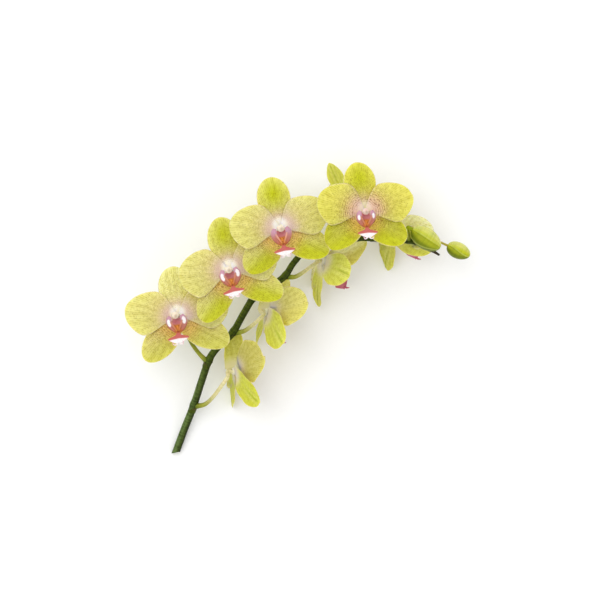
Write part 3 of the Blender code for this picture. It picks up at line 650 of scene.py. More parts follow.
# %% Petal tissue
VEIN_SPACING = 1.1       # mm
SPOT_SPACING = 1.1       # mm
RING_SPACING = 1.75      # mm
BROAD_SPACING = 4.4      # mm, of the soft folds between the main veins
CLOUDS, BLOTCHES, GRAIN = 110.0, 480.0, 1400.0   # to a metre: 9 mm, 2 mm and 0.7 mm across
PATTERN_SHIFT = 37.0     # mm that the spots' cells move on from one piece to the next
SPOT_TINT = "#8E7444"
RING_TINT = "#A06C48"


def read_mark(tree, name):
    """The three numbers of one of the surface's marks."""
    mark = add(tree, "Attribute", attribute_name=name)
    return add(tree, "SeparateXYZ", {0: mark.outputs["Vector"]}).outputs


def ripple(tree, length, spacing, shift=0.0):
    """A sine of a length in mm, one wave to each spacing, moved on by shift radians."""
    turns = add(tree, "Math", {0: length, 1: 2 * np.pi / spacing, 2: shift}, operation="MULTIPLY_ADD")
    return add(tree, "Math", {0: turns}, operation="SINE")


def cells(tree, across, along, spacing, size):
    """Voronoi cells over two lengths in mm. Returns a round mark in each cell, whose radius is size cells
    and up to 0.16 more and which is full within 0.45 of it, and the cell's random number."""
    vector = add(tree, "CombineXYZ", {0: across, 1: along})
    scaled = add(tree, "VectorMath", {0: vector, 3: 1 / spacing}, operation="SCALE")
    chosen = {"Vector": scaled, "Scale": 1.0, "Randomness": 0.85}
    found = add(tree, "TexVoronoi", chosen, voronoi_dimensions="2D")
    number = add(tree, "SeparateColor", {0: found.outputs["Color"]}).outputs
    edge = add(tree, "Math", {0: number[0], 1: 0.16, 2: size}, operation="MULTIPLY_ADD")
    core = add(tree, "Math", {0: edge, 1: 0.45}, operation="MULTIPLY")
    away = found.outputs["Distance"]
    mark = add(tree, "MapRange", {0: away, 1: edge, 2: core}, interpolation_type="SMOOTHSTEP")
    return mark, number[1]


def spotted(tree, place, zone, spacing, size):
    """Spots of the cells pattern: a cell shows its mark where its random number lies below the zone's first
    share. The place's third number shifts the pattern, so that no two pieces have the same spots."""
    shifted = add(tree, "Math", {0: place[2], 1: PATTERN_SHIFT, 2: place[0]}, operation="MULTIPLY_ADD")
    mark, number = cells(tree, shifted, place[1], spacing, size)
    present = add(tree, "Math", {0: number, 1: zone[0]}, operation="LESS_THAN")
    return add(tree, "Math", {0: mark, 1: present}, operation="MULTIPLY")


petal_tissue, tree, shader = new_material("petal tissue", Roughness=0.55, Specular_IOR_Level=0.12,
                                          Subsurface_Weight=0.8, Subsurface_Scale=0.002)
shader.inputs["Subsurface Radius"].default_value = (1.0, 0.9, 0.35)
ground = add(tree, "Attribute", attribute_name="ground").outputs["Color"]
place = read_mark(tree, "place")
zone = read_mark(tree, "zone")
point = add(tree, "TexCoord").outputs["Object"]
clouds = add(tree, "TexNoise", {"Vector": point, "Scale": CLOUDS, "Detail": 2.0})
blotches = add(tree, "TexNoise", {"Vector": point, "Scale": BLOTCHES, "Detail": 2.0})
grain = add(tree, "TexNoise", {"Vector": point, "Scale": GRAIN, "Detail": 2.0})

warp = add(tree, "Math", {0: clouds, 1: 6.0}, operation="MULTIPLY")
vein = add(tree, "MapRange", {0: ripple(tree, place[0], VEIN_SPACING, warp), 1: -0.3, 2: 1.0})
broken = add(tree, "MapRange", {0: blotches, 1: 0.35, 2: 0.65})
streak = add(tree, "Math", {0: vein, 1: broken}, operation="MULTIPLY")
folds = ripple(tree, place[0], BROAD_SPACING, warp)
fold = add(tree, "MapRange", {0: folds, 1: -0.5, 2: 1.0, 3: 0.0, 4: 0.22})
deeper = add(tree, "Mix", {0: 1.0, 6: ground, 7: rgba("#D2CC90")}, data_type="RGBA", blend_type="MULTIPLY")
streak_share = add(tree, "Math", {0: streak, 1: 0.7, 2: fold}, operation="MULTIPLY_ADD")
veined = add(tree, "Mix", {0: streak_share, 6: ground, 7: deeper}, data_type="RGBA")
patch = add(tree, "MapRange", {0: blotches, 1: 0.45, 2: 0.75, 3: 0.0, 4: 0.3})
mottled = add(tree, "Mix", {0: patch, 6: veined, 7: deeper}, data_type="RGBA")
outside = add(tree, "MapRange", {0: place[1], 1: 8.0, 2: 18.0, 3: 0.1, 4: 1.0})
mottled = add(tree, "Mix", {0: outside, 6: ground, 7: mottled}, data_type="RGBA")

spots = spotted(tree, place, zone, SPOT_SPACING, 0.24)
wavy = add(tree, "Math", {0: blotches, 1: 3.4, 2: place[1]}, operation="MULTIPLY_ADD")
line = add(tree, "MapRange", {0: ripple(tree, wavy, RING_SPACING), 1: 0.1, 2: 0.85})
gaps = add(tree, "MapRange", {0: grain, 1: 0.42, 2: 0.54})
dashes = add(tree, "Math", {0: line, 1: gaps}, operation="MULTIPLY")
rings = add(tree, "Math", {0: dashes, 1: zone[1]}, operation="MULTIPLY")
spots_share = add(tree, "Math", {0: spots, 1: zone[2]}, operation="MULTIPLY")
rings_share = add(tree, "Math", {0: rings, 1: 0.75}, operation="MULTIPLY")
spotty = {0: spots_share, 6: mottled, 7: rgba(SPOT_TINT)}
browned = add(tree, "Mix", spotty, data_type="RGBA", blend_type="MULTIPLY")
reddened = add(tree, "Mix", {0: 1.0, 6: mottled, 7: rgba(RING_TINT)}, data_type="RGBA", blend_type="MULTIPLY")
coloured = add(tree, "Mix", {0: rings_share, 6: browned, 7: reddened}, data_type="RGBA")
tree.links.new(coloured.outputs[2], shader.inputs["Base Color"])
relief = add(tree, "Math", {0: streak, 1: -0.7, 2: grain}, operation="MULTIPLY_ADD")
bump = add(tree, "Bump", {"Strength": 0.3, "Distance": 0.00015, "Height": relief})
tree.links.new(bump.outputs[0], shader.inputs["Normal"])
gloss = add(tree, "MapRange", {0: grain, 3: 0.48, 4: 0.62})
tree.links.new(gloss.outputs[0], shader.inputs["Roughness"])
print("nodes in the petal tissue:", len(tree.nodes))

# %% [markdown]
# ## The nine sets of tepals
# Five tepals root in the receptacle, the small knob where the stalk ends. It stays a plain ellipsoid behind
# the flower, sunk into the tepals' roots, so nothing hangs loose.

# %% Build the tepals
RECEPTACLE = (3.4, 3.4, 2.6)
RECEPTACLE_FRONT = 0.2

for index, (name, bloom) in enumerate(BLOOMS.items()):
    shells = [tepal(bloom, one, HABIT[name], 5 * index + k) for k, one in enumerate(TEPALS)]
    centre = in_flower(bloom, (0, 0, RECEPTACLE_FRONT))
    knob = ball(centre, bloom["size"] * np.array(RECEPTACLE), flower_axes(bloom))
    before = rise((knob - centre) @ flower_axes(bloom)[2], -0.5, 0.5)
    shells.append(shell(knob, ground=mix(mix(ROOT_VIOLET, PALE_YELLOW, 0.5), HEART_WHITE, before)))
    made = piece(name + "_tissue", shells, petal_tissue, [name + "_tepals"])
print("tepals:", len(BLOOMS) * len(TEPALS), "faces in one flower:", len(made.data.polygons))

# %% [markdown]
# ## The lip
# The third petal is the lip. Its claw, magenta inside, lies below the column. Two side lobes stand up and
# clasp the column like cupped hands, violet with a white patch. Between them sits the callus, orange with
# red-brown spots, and two pink keels run down to it. The middle lobe reaches out like an anchor: a red
# neck, two arms swept back, a white blade and two pale tendrils.

# %% Lip surfaces
MIDDLE_LOBE = ((0, -0.9, 4.4), (0, -3.4, 4.9), (0, -5.8, 6.4), (0, -8.2, 8.6), (0, -10.8, 10.4),
               (0, -12.2, 11.3), (0, -13.0, 11.8), (0, -13.7, 12.3), (0, -14.2, 12.6), (0, -14.7, 12.9),
               (0, -15.6, 13.5), (0, -17.6, 15.0), (0, -19.6, 16.4), (0, -20.7, 17.1))
MIDDLE_LOBE_HALF = (3.6, 4.2, 4.0, 2.8, 1.8, 1.5, 1.6, 2.1, 4.0, 7.2, 8.3, 6.0, 3.2, 1.0)
MIDDLE_LOBE_FOLD = 0.1
ARM_SWEEP = 1.9          # mm that the arms' ends are carried towards the lip's tip
SIDE_LOBE = ((0.9, -12.2, 9.8), (3.3, -10.0, 9.9), (5.6, -6.4, 10.8), (6.0, -2.4, 11.8), (4.8, 1.0, 12.0))
SIDE_LOBE_HALF = (0.6, 1.6, 2.5, 2.5, 1.5)
SIDE_LOBE_CROSS = ((0.5, -0.8, -0.2), (0.75, -0.5, -0.4), (0.87, -0.15, -0.45), (0.87, 0.1, -0.45),
                   (0.8, 0.35, -0.5))
SIDE_LOBE_FOLD = -0.3    # its sides bend back, so it is rounded towards the front
CALLUS_AT = (0, -8.8, 9.6)
CALLUS = (1.7, 2.5, 1.3)
KEEL = ((4.9, -0.8, 10.8), (4.3, -3.4, 12.0), (3.1, -6.4, 12.1), (1.8, -8.8, 11.6), (0.7, -11.0, 11.2))
TENDRIL = ((0.5, -19.9, 16.8), (1.6, -21.3, 17.7), (3.1, -21.7, 19.2), (4.0, -20.7, 20.3), (3.7, -19.5, 20.9))
LIP_THICKNESS = 0.8      # mm
LIP_COLUMNS = 33
LEAN_HEIGHT = 11.0       # mm before the flower's root, where a lean is in full

LIP_RED = linear("#CC6C66")
LIP_BRICK = linear("#C8743E")
LIP_ORANGE = linear("#E0943A")
LIP_WHITE = linear("#FFFDFC")
LIP_PINK = linear("#EBA3B4")
LIP_ROSE = linear("#C47E6C")
KEEL_PINK = linear("#FAC8B8")
LIP_MAGENTA = linear("#C4607E")
THROAT = linear("#E0969A")
LIP_VIOLET = linear("#CC9CAE")
NECK_DARK = linear("#8A2A1C")


def strip(line, half, cross, steps):
    """Points of a strip: controls (x, y, z, half width, cross direction) on a smooth curve. Returns the
    line, the half width, the unit cross direction and the face's normal as arrays (rows, 1, values), and s
    across it."""
    path = smooth(np.column_stack([line, half, cross]), steps)
    line, half, cross = path[:, None, :3], np.maximum(path[:, None, 3:4], 0.2), unit(path[:, None, 4:])
    face = unit(np.cross(np.gradient(line, axis=0), cross))
    face *= np.sign(face[..., 2].sum())
    return line, half, cross, face, np.linspace(1, -1, LIP_COLUMNS)[None, :, None]


def leaning(local, lean):
    """Points in the flower's axes, sheared sideways: in full at LEAN_HEIGHT before its root, in proportion
    below."""
    return local + local[..., 2:3] / LEAN_HEIGHT * np.array((*lean, 0))


def lobe(bloom, lean, local, s, colours, number):
    """A lobe of the lip from its middle surface in the flower's axes. colours gives the ground colours of
    both faces and the share of spots from the way along it, 0 to 1, from s across it and from the points
    themselves."""
    u, wide = np.broadcast_arrays(np.linspace(0, 1, len(local))[:, None], s[..., 0])
    rim = np.sqrt(np.clip(1 - np.abs(wide) ** 4, 0, 1)) * np.sqrt(np.clip(1 - u ** 12, 0, 1))
    middle = in_flower(bloom, leaning(local, lean))
    rings = sheet(middle, LIP_THICKNESS / 2 * bloom["size"] * rim, flower_axes(bloom)[2])
    front, back, spots = colours(u, wide, local)
    place = together(local[..., 0], local[..., 1], number)
    on_front = together(spots, 0, 1)
    return shell(rings, ground=both(front, back), place=both(place, place), zone=both(on_front, 0 * on_front))


def middle_lobe(bloom, lean, number):
    """Strip whose sides fold forward by fold x half x s^2. Its arms sweep towards the lip's tip in
    proportion to how far they reach, rounded at the middle by a root of the square plus one."""
    line, half, cross, face, s = strip(MIDDLE_LOBE, MIDDLE_LOBE_HALF, [(1, 0, 0)] * len(MIDDLE_LOBE), steps=8)
    local = line + s * half * cross + MIDDLE_LOBE_FOLD * half * s ** 2 * face
    swept = np.sqrt((s * half) ** 2 + 1) / max(MIDDLE_LOBE_HALF) * rise(-line[..., 1:2], 12, 13.5)
    local = local + ARM_SWEEP * swept * np.array((0, -0.9, 0.3))

    def colours(u, wide, local):
        """Magenta throat, orange callus, brick neck with a dark groove, red along the arms' upper edge,
        white."""
        down = -line[..., 1] + 0 * wide
        front = mix(THROAT, LIP_ORANGE, rise(down, 5.0, 7.2))
        front = mix(front, LIP_BRICK, rise(down, 10.3, 12))
        front = mix(front, NECK_DARK, 0.85 * hill(down, 11.9, 0.8) * hill(wide, 0, 0.6))
        aside = np.abs(local[..., 0])
        front = mix(front, LIP_RED, rise(down, 12.3, 13.3) * (1 - 0.35 * rise(aside, 2.5, 6.5)))
        front = mix(front, LIP_WHITE, rise(down + 0.05 * aside, 16.6, 17.3))
        rim = rise(np.abs(wide), 0.85, 1) * rise(down, 15.5, 17)
        front = mix(front, LIP_PINK, 0.3 * rim + 0.3 * rise(u, 0.95, 1))
        back = mix(LIP_RED, LIP_MAGENTA, rise(down, 13, 15))
        back = mix(back, LIP_PINK, 0.5 * rise(u, 0.6, 0.9) * (1 - np.abs(wide)))
        return front, back, 0.85 * rise(down, 6, 8) * rise(down, 13, 11)

    return lobe(bloom, lean, local, s, colours, number)


def side_lobe(bloom, lean, side, window, number):
    """Strip that is rounded towards the front; its other side is the mirror image."""
    line, half, cross, face, s = strip(SIDE_LOBE, SIDE_LOBE_HALF, SIDE_LOBE_CROSS, steps=10)
    local = (line + s * half * cross + SIDE_LOBE_FOLD * half * s ** 2 * face) * (side, 1, 1)

    def colours(u, wide, local):
        """Brick root, rose at half its length, violet at its top, a darker edge towards the callus, a white
        patch."""
        front = mix(LIP_BRICK, LIP_ROSE, rise(u, 0.1, 0.4))
        front = mix(front, LIP_VIOLET, rise(u, 0.45, 0.82))
        front = mix(front, NECK_DARK, 0.8 * rise(wide, 0.35, 0.9) * rise(u, 0.6, 0.3))
        front = mix(front, LIP_BRICK, 0.5 * rise(-wide, 0.6, 1.0) * rise(u, 0.8, 0.5))
        pane = np.hypot((u - 0.67 - 0.03 * side) / 0.19, (wide + 0.1) / 0.6) / max(window, 0.01)
        front = mix(front, LIP_WHITE, rise(pane, 1.1, 0.8))
        back = mix(LIP_MAGENTA, LIP_WHITE, 0.3 * hill(u, 0.6, 0.3))
        return front, back, 0.75 * rise(wide, -0.2, 0.6) * rise(u, 0.5, 0.3)

    return lobe(bloom, lean, local, s, colours, number)


reach = np.linalg.norm(np.subtract(MIDDLE_LOBE[-1], MIDDLE_LOBE[0]))
print("middle lobe in mm: reach", round(float(reach), 1), "widest", 2 * max(MIDDLE_LOBE_HALF))

# %% Lip and column tissue
# Waxy tissue, close and smooth: glossier than the tepals, with the same inner glow. The callus spots are
# 0.5 mm.
LIP_SPOT_SPACING = 1.0   # mm
LIP_GRAIN = 900.0        # to a metre: 1.1 mm across

lip_wax, tree, shader = new_material("waxy lip tissue", Roughness=0.3, Specular_IOR_Level=0.25,
                                     Subsurface_Weight=0.3, Subsurface_Scale=0.0012)
shader.inputs["Subsurface Radius"].default_value = (1.0, 0.5, 0.4)
ground = add(tree, "Attribute", attribute_name="ground").outputs["Color"]
place = read_mark(tree, "place")
zone = read_mark(tree, "zone")
spots = spotted(tree, place, zone, LIP_SPOT_SPACING, 0.26)
point = add(tree, "TexCoord").outputs["Object"]
grain = add(tree, "TexNoise", {"Vector": point, "Scale": LIP_GRAIN, "Detail": 2.0})
shaded = add(tree, "Mix", {0: grain, 6: ground, 7: rgba("#E6DADC")}, data_type="RGBA", blend_type="MULTIPLY")
spots_share = add(tree, "Math", {0: spots, 1: 0.75}, operation="MULTIPLY")
coloured = add(tree, "Mix", {0: spots_share, 6: shaded, 7: rgba("#84301C")}, data_type="RGBA")
tree.links.new(coloured.outputs[2], shader.inputs["Base Color"])
bump = add(tree, "Bump", {"Strength": 0.25, "Distance": 0.0001, "Height": grain})
tree.links.new(bump.outputs[0], shader.inputs["Normal"])
print("nodes in the waxy tissue:", len(tree.nodes))


# %% Build the lips
# Radii in mm of the keels, of the tendrils and of the tendrils that haven't uncurled, at the root, at 0.4 of
# the length and at the end.
KEEL_RADII, TENDRIL_RADII, YOUNG_RADII = (0.6, 0.75, 0.4), (0.6, 0.5, 0.2), (1.0, 0.9, 0.3)
ROD_SIDES = 12


def callus(bloom, lean, number):
    """The callus: an ellipsoid on the lip's neck, of a brick colour towards the lip's tip."""
    centre = in_flower(bloom, leaning(np.array(CALLUS_AT, float), lean))
    rings = ball(centre, bloom["size"] * np.array(CALLUS), flower_axes(bloom))
    local = (rings - centre) @ flower_axes(bloom).T / bloom["size"]
    ground = mix(LIP_ORANGE, LIP_BRICK, 0.8 * rise(-local[..., 1], 0.4, 2.2))
    place = together(local[..., 0], local[..., 1], number)
    return shell(rings, ground=ground, place=place, zone=np.array((0.55, 0, 1)))


def rod(bloom, lean, points, side, radii, colour, end_colour):
    """A thin tube through the points, mirrored by side, from one colour to the other by the square of the
    way."""
    line = leaning(smooth(np.array(points) * (side, 1, 1), steps=8), lean)
    t = np.linspace(0, 1, len(line))[:, None]
    rings = tube(in_flower(bloom, line), np.interp(t, (0, 0.4, 1), radii) * bloom["size"], ROD_SIDES)
    return shell(rings, ground=mix(colour, end_colour, t ** 2))


for index, (name, bloom) in enumerate(BLOOMS.items()):
    lean = HABIT[name]["lean"][1]
    shells = [middle_lobe(bloom, lean, index), callus(bloom, lean, index + 20)]
    for side in (1, -1):
        shells.append(side_lobe(bloom, lean, side, HABIT[name]["window"], index + 40))
        keel_colour = mix(LIP_ROSE, KEEL_PINK, HABIT[name]["keel"])
        shells.append(rod(bloom, lean, KEEL, side, KEEL_RADII, keel_colour, LIP_ORANGE))
        if name in facing_up:
            shells.append(rod(bloom, lean, TENDRIL, side, TENDRIL_RADII, LIP_WHITE, LIP_PINK))
        else:
            young = TENDRIL[:3] if side < 0 else TENDRIL[:2]
            shells.append(rod(bloom, lean, young, side, YOUNG_RADII, LIP_MAGENTA, LIP_MAGENTA))
    made = piece(name + "_labellum", shells, lip_wax, [name + "_lip"])
print("lips:", len(BLOOMS), "faces in one:", len(made.data.polygons))

# %% [markdown]
# ## The column
# Stamens and style are one body in an orchid, the column: pinkish white and waxy, hollow below its tip
# where pollen is received, and capped by the cream anther cap with a greyish beak. It is a tube whose rings
# dip in on the lip's side. No flower holds it quite straight, so its tip leans a little.

# %% Build the columns
COLUMN_LINE = ((0, 0.3, 3.2), (0, 0.9, 6), (0, 1.0, 8.5), (0, 0.8, 10.2), (0, 0.6, 11.2))
COLUMN_RADII = (1.95, 2.3, 2.5, 2.0, 0.7)
COLUMN_SIDES = 28
CAP_AT = (0, 0.7, 10.6)
CAP = (2.9, 2.7, 1.8)
COLUMN_WHITE = linear("#F4E8EA")
CAP_CREAM = linear("#FBF3DA")
CAP_BEAK = linear("#B8A080")

for name, bloom in BLOOMS.items():
    path = smooth(np.column_stack([COLUMN_LINE, COLUMN_RADII]), steps=7)
    lean = HABIT[name]["lean"][0]
    line = in_flower(bloom, leaning(path[:, :3], lean))
    rings = tube(line, path[:, 3:] * bloom["size"], COLUMN_SIDES)
    spoke = (rings - line[:, None]) @ flower_axes(bloom).T / bloom["size"]
    below = rise(-spoke[..., 1] / np.maximum(path[:, 3:], 0.1), 0.1, 0.9)
    u = np.linspace(0, 1, len(line))[:, None]
    dip = 1 - 0.4 * below * hill(u, 0.72, 0.16)
    rings = line[:, None] + (rings - line[:, None]) * dip[..., None]
    shells = [shell(rings, ground=mix(COLUMN_WHITE, LIP_MAGENTA, 0.8 * below * rise(u, 0.1, 0.5)))]
    centre = in_flower(bloom, leaning(np.array(CAP_AT, float), lean))
    cap = ball(centre, bloom["size"] * np.array(CAP), flower_axes(bloom), rings=24)
    local = (cap - centre) @ flower_axes(bloom).T / bloom["size"]
    beak = hill(np.hypot(local[..., 0] - 0.2, local[..., 1] + 0.6), 0, 1.5) * rise(local[..., 2], 0, 0.8)
    # On the ringed flower the cap is painted pinker: partly its own pink, partly painted shade.
    cream = mix(CAP_CREAM, LIP_PINK, 0.35 * HABIT[name]["rings"])
    shells.append(shell(cap, ground=mix(cream, CAP_BEAK, 0.8 * beak)))
    made = piece(name + "_gynostemium", shells, lip_wax, [name + "_column"])
print("columns:", len(BLOOMS), "faces in one:", len(made.data.polygons))

# %% [markdown]
# ## Stem and stalks
# The stem is one season's growth: dark green, smooth and slightly waxy, a little thicker at each node,
# where a small dry scale clasps it below the flower's stalk. It pales at the cut and browns at its tip. The
# flower stalks, the pedicels, are pale green, finely ribbed, and turn cream where they meet the flower.

# %% The stem's line and nodes
STEM_LINE = (
    (-95.5, -117, 2.6), (-89.1, -99.9, 5.8), (-81.7, -81.5, 13), (-74.9, -61.7, 22.5), (-69.3, -46.2, 31),
    (-63.1, -36.7, 35.5), (-50.8, -24.5, 41), (-43, -11.3, 45), (-34.8, 1.5, 47.5), (-24, 8.6, 49),
    (-11.5, 18, 50), (-5.1, 27.4, 50.3), (3.4, 36.7, 50.3), (14.2, 42.7, 50.2), (27.8, 45.9, 49.8),
    (45, 46.3, 48.8), (63.9, 45.5, 46.2), (82.4, 44.3, 43), (94.6, 40.3, 40), (105.2, 34, 37),
)
STEM_BASE_WIDTH, STEM_TIP_WIDTH, STEM_TAPER = 5.9, 3.4, 1.6
NODE_SWELL, NODE_LENGTH = 0.45, 4.5
TIP_SHRINK, TIP_LENGTH = 0.5, 11   # the stem's end has dried and shrunk
STEM_STEPS = 14
BUDS = {
    "bud_1": dict(base=(84, 52.9, 50.5), tip=(105.1, 39, 48), width=17.2, stalk_width=3.0,
                  stalk_colour=linear("#A0B00A"), seams=((0.75, 0.74), (0.98, 0.86), (0.4, 0.4)),
                  stalk=((81.6, 46.6, 44.5), (80.8, 50.4, 48), (80.7, 53.9, 50))),
    "bud_2": dict(base=(111.3, 41.2, 37), tip=(128.3, 33.4, 36), width=13.2, stalk_width=1.9,
                  stalk_colour=linear("#BEB04E"), seams=((0.72, 0.84), (0.4, 0.42), (0.1, 0.15)),
                  stalk=((98.5, 41.1, 38.5), (102.5, 42.8, 38.5), (106, 43.4, 38))),
}
CARRIED = {**BLOOMS, **BUDS}

stem_line = smooth(STEM_LINE, steps=STEM_STEPS)
stem_run = np.concatenate([[0], np.cumsum(np.linalg.norm(np.diff(stem_line, axis=0), axis=1))])
nodes = {name: int(np.linalg.norm(stem_line - one["stalk"][0], axis=1).argmin())
         for name, one in CARRIED.items()}
thinned = (stem_run / stem_run[-1]) ** STEM_TAPER
stem_radius = (STEM_BASE_WIDTH + (STEM_TIP_WIDTH - STEM_BASE_WIDTH) * thinned) / 2
for at in nodes.values():
    stem_radius = stem_radius + NODE_SWELL * hill(stem_run, stem_run[at], NODE_LENGTH / 2)
stem_radius = stem_radius * (1 - TIP_SHRINK * rise(stem_run, stem_run[-1] - TIP_LENGTH, stem_run[-1]))
stem_way = unit(np.gradient(stem_line, axis=0))
print("stem length in mm:", round(float(stem_run[-1]), 1), "nodes:", len(nodes))

# %% Colours along the stem
# The stem's shaded and olive colours and its lighter green paint light and shade on its sides; the olive is
# also the stalks' own colour at their foot.
STEM_GREEN = linear("#4C5A0E")
STEM_SHADED = linear("#2C380A")
STEM_LIT_GREEN = linear("#667C44")
STEM_OLIVE = linear("#6A7A20")
STEM_BROWN = linear("#4C4030")
CUT_CREAM = linear("#A9A968")
SCALE_BROWN = linear("#5C4A2A")
STALK_GREEN = linear("#A2A43C")
STALK_OLIVE = linear("#8C9026")
STALK_CREAM = linear("#F0E4B4")


def round_shell(rings, ground, run):
    """A closed surface round a line. Its place is a turn round the line, 0 to 1, and a run along it in
    mm."""
    sides = rings.shape[1]
    return shell(rings, ground=ground, place=together(np.arange(sides) / sides, run, 0))


def outward(name):
    """The way out of the stem at a stalk's node, square to the stem."""
    way = stem_way[nodes[name]]
    out = CARRIED[name]["stalk"][0] - stem_line[nodes[name]]
    return unit(out - out @ way * way)


print("stem colours in linear light:", STEM_GREEN.round(3).tolist(), "to", STEM_SHADED.round(3).tolist())

# %% Build the stem
STEM_SIDES = 28
STEM_CUT = unit(np.array((-0.25, 0.96, 0.1)))
STEM_LIT = unit(np.array((-0.8, 0.35, 0.45)))
CUT_EDGE = 0.86          # of the radius, where the cut face starts
BRACT_LENGTH, BRACT_APART = 6.5, 0.4
BRACT_SPREAD = np.radians(105)
BRACT_OFF = 0.12         # mm off the stem at its foot
BRACT_HALF = 0.22        # mm, half its thickness there
BRACT_ROWS, BRACT_COLUMNS = 16, 17

rings = tube(stem_line, stem_radius[:, None], STEM_SIDES)
slant = (rings[0] - stem_line[0]) @ STEM_CUT / (stem_way[0] @ STEM_CUT)
rings[0] -= slant[:, None] * stem_way[0]
inner = stem_line[0] + (rings[0] - stem_line[0]) * CUT_EDGE
rings = np.concatenate([[inner], rings])
rings[..., 2] = np.maximum(rings[..., 2], 0)
run = np.concatenate([[0], stem_run])[:, None]
spoke = unit(rings - np.concatenate([stem_line[:1], stem_line])[:, None])
# Painted light and shade: the stem is painted lighter and more olive on its side towards STEM_LIT, up and to
# the left, and darker on the far side; towards the cut the lit side is painted a lighter green.
turned = spoke @ STEM_LIT
ground = mix(STEM_SHADED, STEM_GREEN, rise(turned, -0.8, 0.8))
ground = mix(ground, STEM_OLIVE, 0.6 * rise(turned, 0.5, 1.0))
ground = mix(ground, STEM_LIT_GREEN, rise(turned, -0.5, 1.0) * rise(run, 110, 20))
ground = mix(ground, STEM_BROWN, rise(run, stem_run[-1] - 16, stem_run[-1] - 4))
ground[0] = CUT_CREAM
shells = [round_shell(rings, ground, run)]


def bract(name):
    """A scale that clasps the stem below a stalk: a sheet round the stem from its foot to a point at the
    node. It stands off the more the nearer to its point; its width falls as 1 - u^2.2."""
    at = nodes[name]
    stop = max(int(np.searchsorted(stem_run, stem_run[at] - BRACT_APART)), 1)
    start = int(np.searchsorted(stem_run, stem_run[stop] - BRACT_LENGTH))
    rows = np.linspace(start, stop, BRACT_ROWS)
    steps = np.arange(len(stem_line))
    line = together(*(np.interp(rows, steps, stem_line[:, i]) for i in range(3)))
    radius = np.interp(rows, steps, stem_radius)
    out = outward(name)
    beside = np.cross(stem_way[at], out)
    u = np.linspace(0, 1, BRACT_ROWS)[:, None]
    s = np.linspace(-1, 1, BRACT_COLUMNS)[None]
    angle = s * BRACT_SPREAD * (1 - u ** 2.2)
    reach = radius[:, None] + BRACT_OFF + 0.55 * u ** 3
    spoke = np.cos(angle)[..., None] * out + np.sin(angle)[..., None] * beside
    middle = line[:, None] + reach[..., None] * spoke
    offset = BRACT_HALF * np.sqrt(np.clip(1 - np.abs(s) ** 4, 0, 1)) * (1 - 0.7 * u)
    rings = both(middle + spoke * offset[..., None], middle - spoke * offset[..., None])
    return round_shell(rings, mix(STEM_GREEN, SCALE_BROWN, rise(u, 0.3, 0.9)), u * BRACT_LENGTH)


shells += [bract(name) for name in CARRIED]
print("stem: rings", len(rings), "scales", len(CARRIED))

# %% [markdown]
# ### Skins with fine ribs
# Stem, stalks and buds share a skin: cells in long files under a thin wax, so most marks are drawn out
# lengthwise. A noise stretched along the run gives the streaks of tone and the low ribs, a second one,
# close along the run, the short marks across it, and a fine one in every direction the grain of the relief.

# %% Stem and stalk skin
STREAKS_PER_MM = 0.09    # so a streak of tone is about 11 mm long
MARKS_PER_MM = 1.1       # of the short marks, along the run
MARKS_ROUND = 0.5        # their noise's scale round the line
SKIN_GRAIN = 1100.0      # to a metre: 0.9 mm across


def rod_skin(name, streaks, contrast, across, darker, **plain):
    """A smooth plant skin with streaks along it and short marks across it. streaks is how many go round;
    contrast is how much they show and across how much the marks do."""
    made, tree, shader = new_material(name, **plain)
    ground = add(tree, "Attribute", attribute_name="ground").outputs["Color"]
    place = read_mark(tree, "place")
    turn = add(tree, "Math", {0: place[0], 1: 2 * np.pi}, operation="MULTIPLY")
    cosine = add(tree, "Math", {0: turn}, operation="COSINE")
    sine = add(tree, "Math", {0: turn}, operation="SINE")
    along = add(tree, "Math", {0: place[1], 1: STREAKS_PER_MM * 2 * np.pi / streaks}, operation="MULTIPLY")
    vector = add(tree, "CombineXYZ", {0: cosine, 1: sine, 2: along})
    streak = add(tree, "TexNoise", {"Vector": vector, "Scale": streaks / (2 * np.pi), "Detail": 3.0})
    point = add(tree, "TexCoord").outputs["Object"]
    grain = add(tree, "TexNoise", {"Vector": point, "Scale": SKIN_GRAIN, "Detail": 2.0})
    dense = add(tree, "Math", {0: place[1], 1: MARKS_PER_MM / MARKS_ROUND}, operation="MULTIPLY")
    closer = add(tree, "CombineXYZ", {0: cosine, 1: sine, 2: dense})
    banded = add(tree, "TexNoise", {"Vector": closer, "Scale": MARKS_ROUND, "Detail": 3.0})
    marks = add(tree, "MapRange", {0: banded, 1: 0.42, 2: 0.62, 3: 0.0, 4: across})
    long_marks = add(tree, "MapRange", {0: streak, 1: 0.35, 2: 0.65, 3: 0.0, 4: contrast})
    share = add(tree, "Math", {0: long_marks, 1: marks}, operation="ADD", use_clamp=True)
    streaky = {0: share, 6: ground, 7: rgba(darker)}
    streaked = add(tree, "Mix", streaky, data_type="RGBA", blend_type="MULTIPLY")
    tree.links.new(streaked.outputs[2], shader.inputs["Base Color"])
    fine = add(tree, "Math", {0: grain, 1: 0.3}, operation="MULTIPLY")
    height = add(tree, "Math", {0: streak, 1: 1.5, 2: fine}, operation="MULTIPLY_ADD")
    bump = add(tree, "Bump", {"Strength": 0.3, "Distance": 0.0002, "Height": height})
    tree.links.new(bump.outputs[0], shader.inputs["Normal"])
    return made


stem_skin = rod_skin("waxy stem skin", 16, 0.5, 0.5, "#8C9468", Roughness=0.4, Specular_IOR_Level=0.1)
stalk_skin = rod_skin("stalk skin", 9, 0.5, 0.3, "#C6C89A", Roughness=0.45, Specular_IOR_Level=0.15,
                      Subsurface_Weight=0.1, Subsurface_Scale=0.001)
made = piece("shoot", shells, stem_skin, ["stem"])
print("faces in the stem:", len(made.data.polygons))

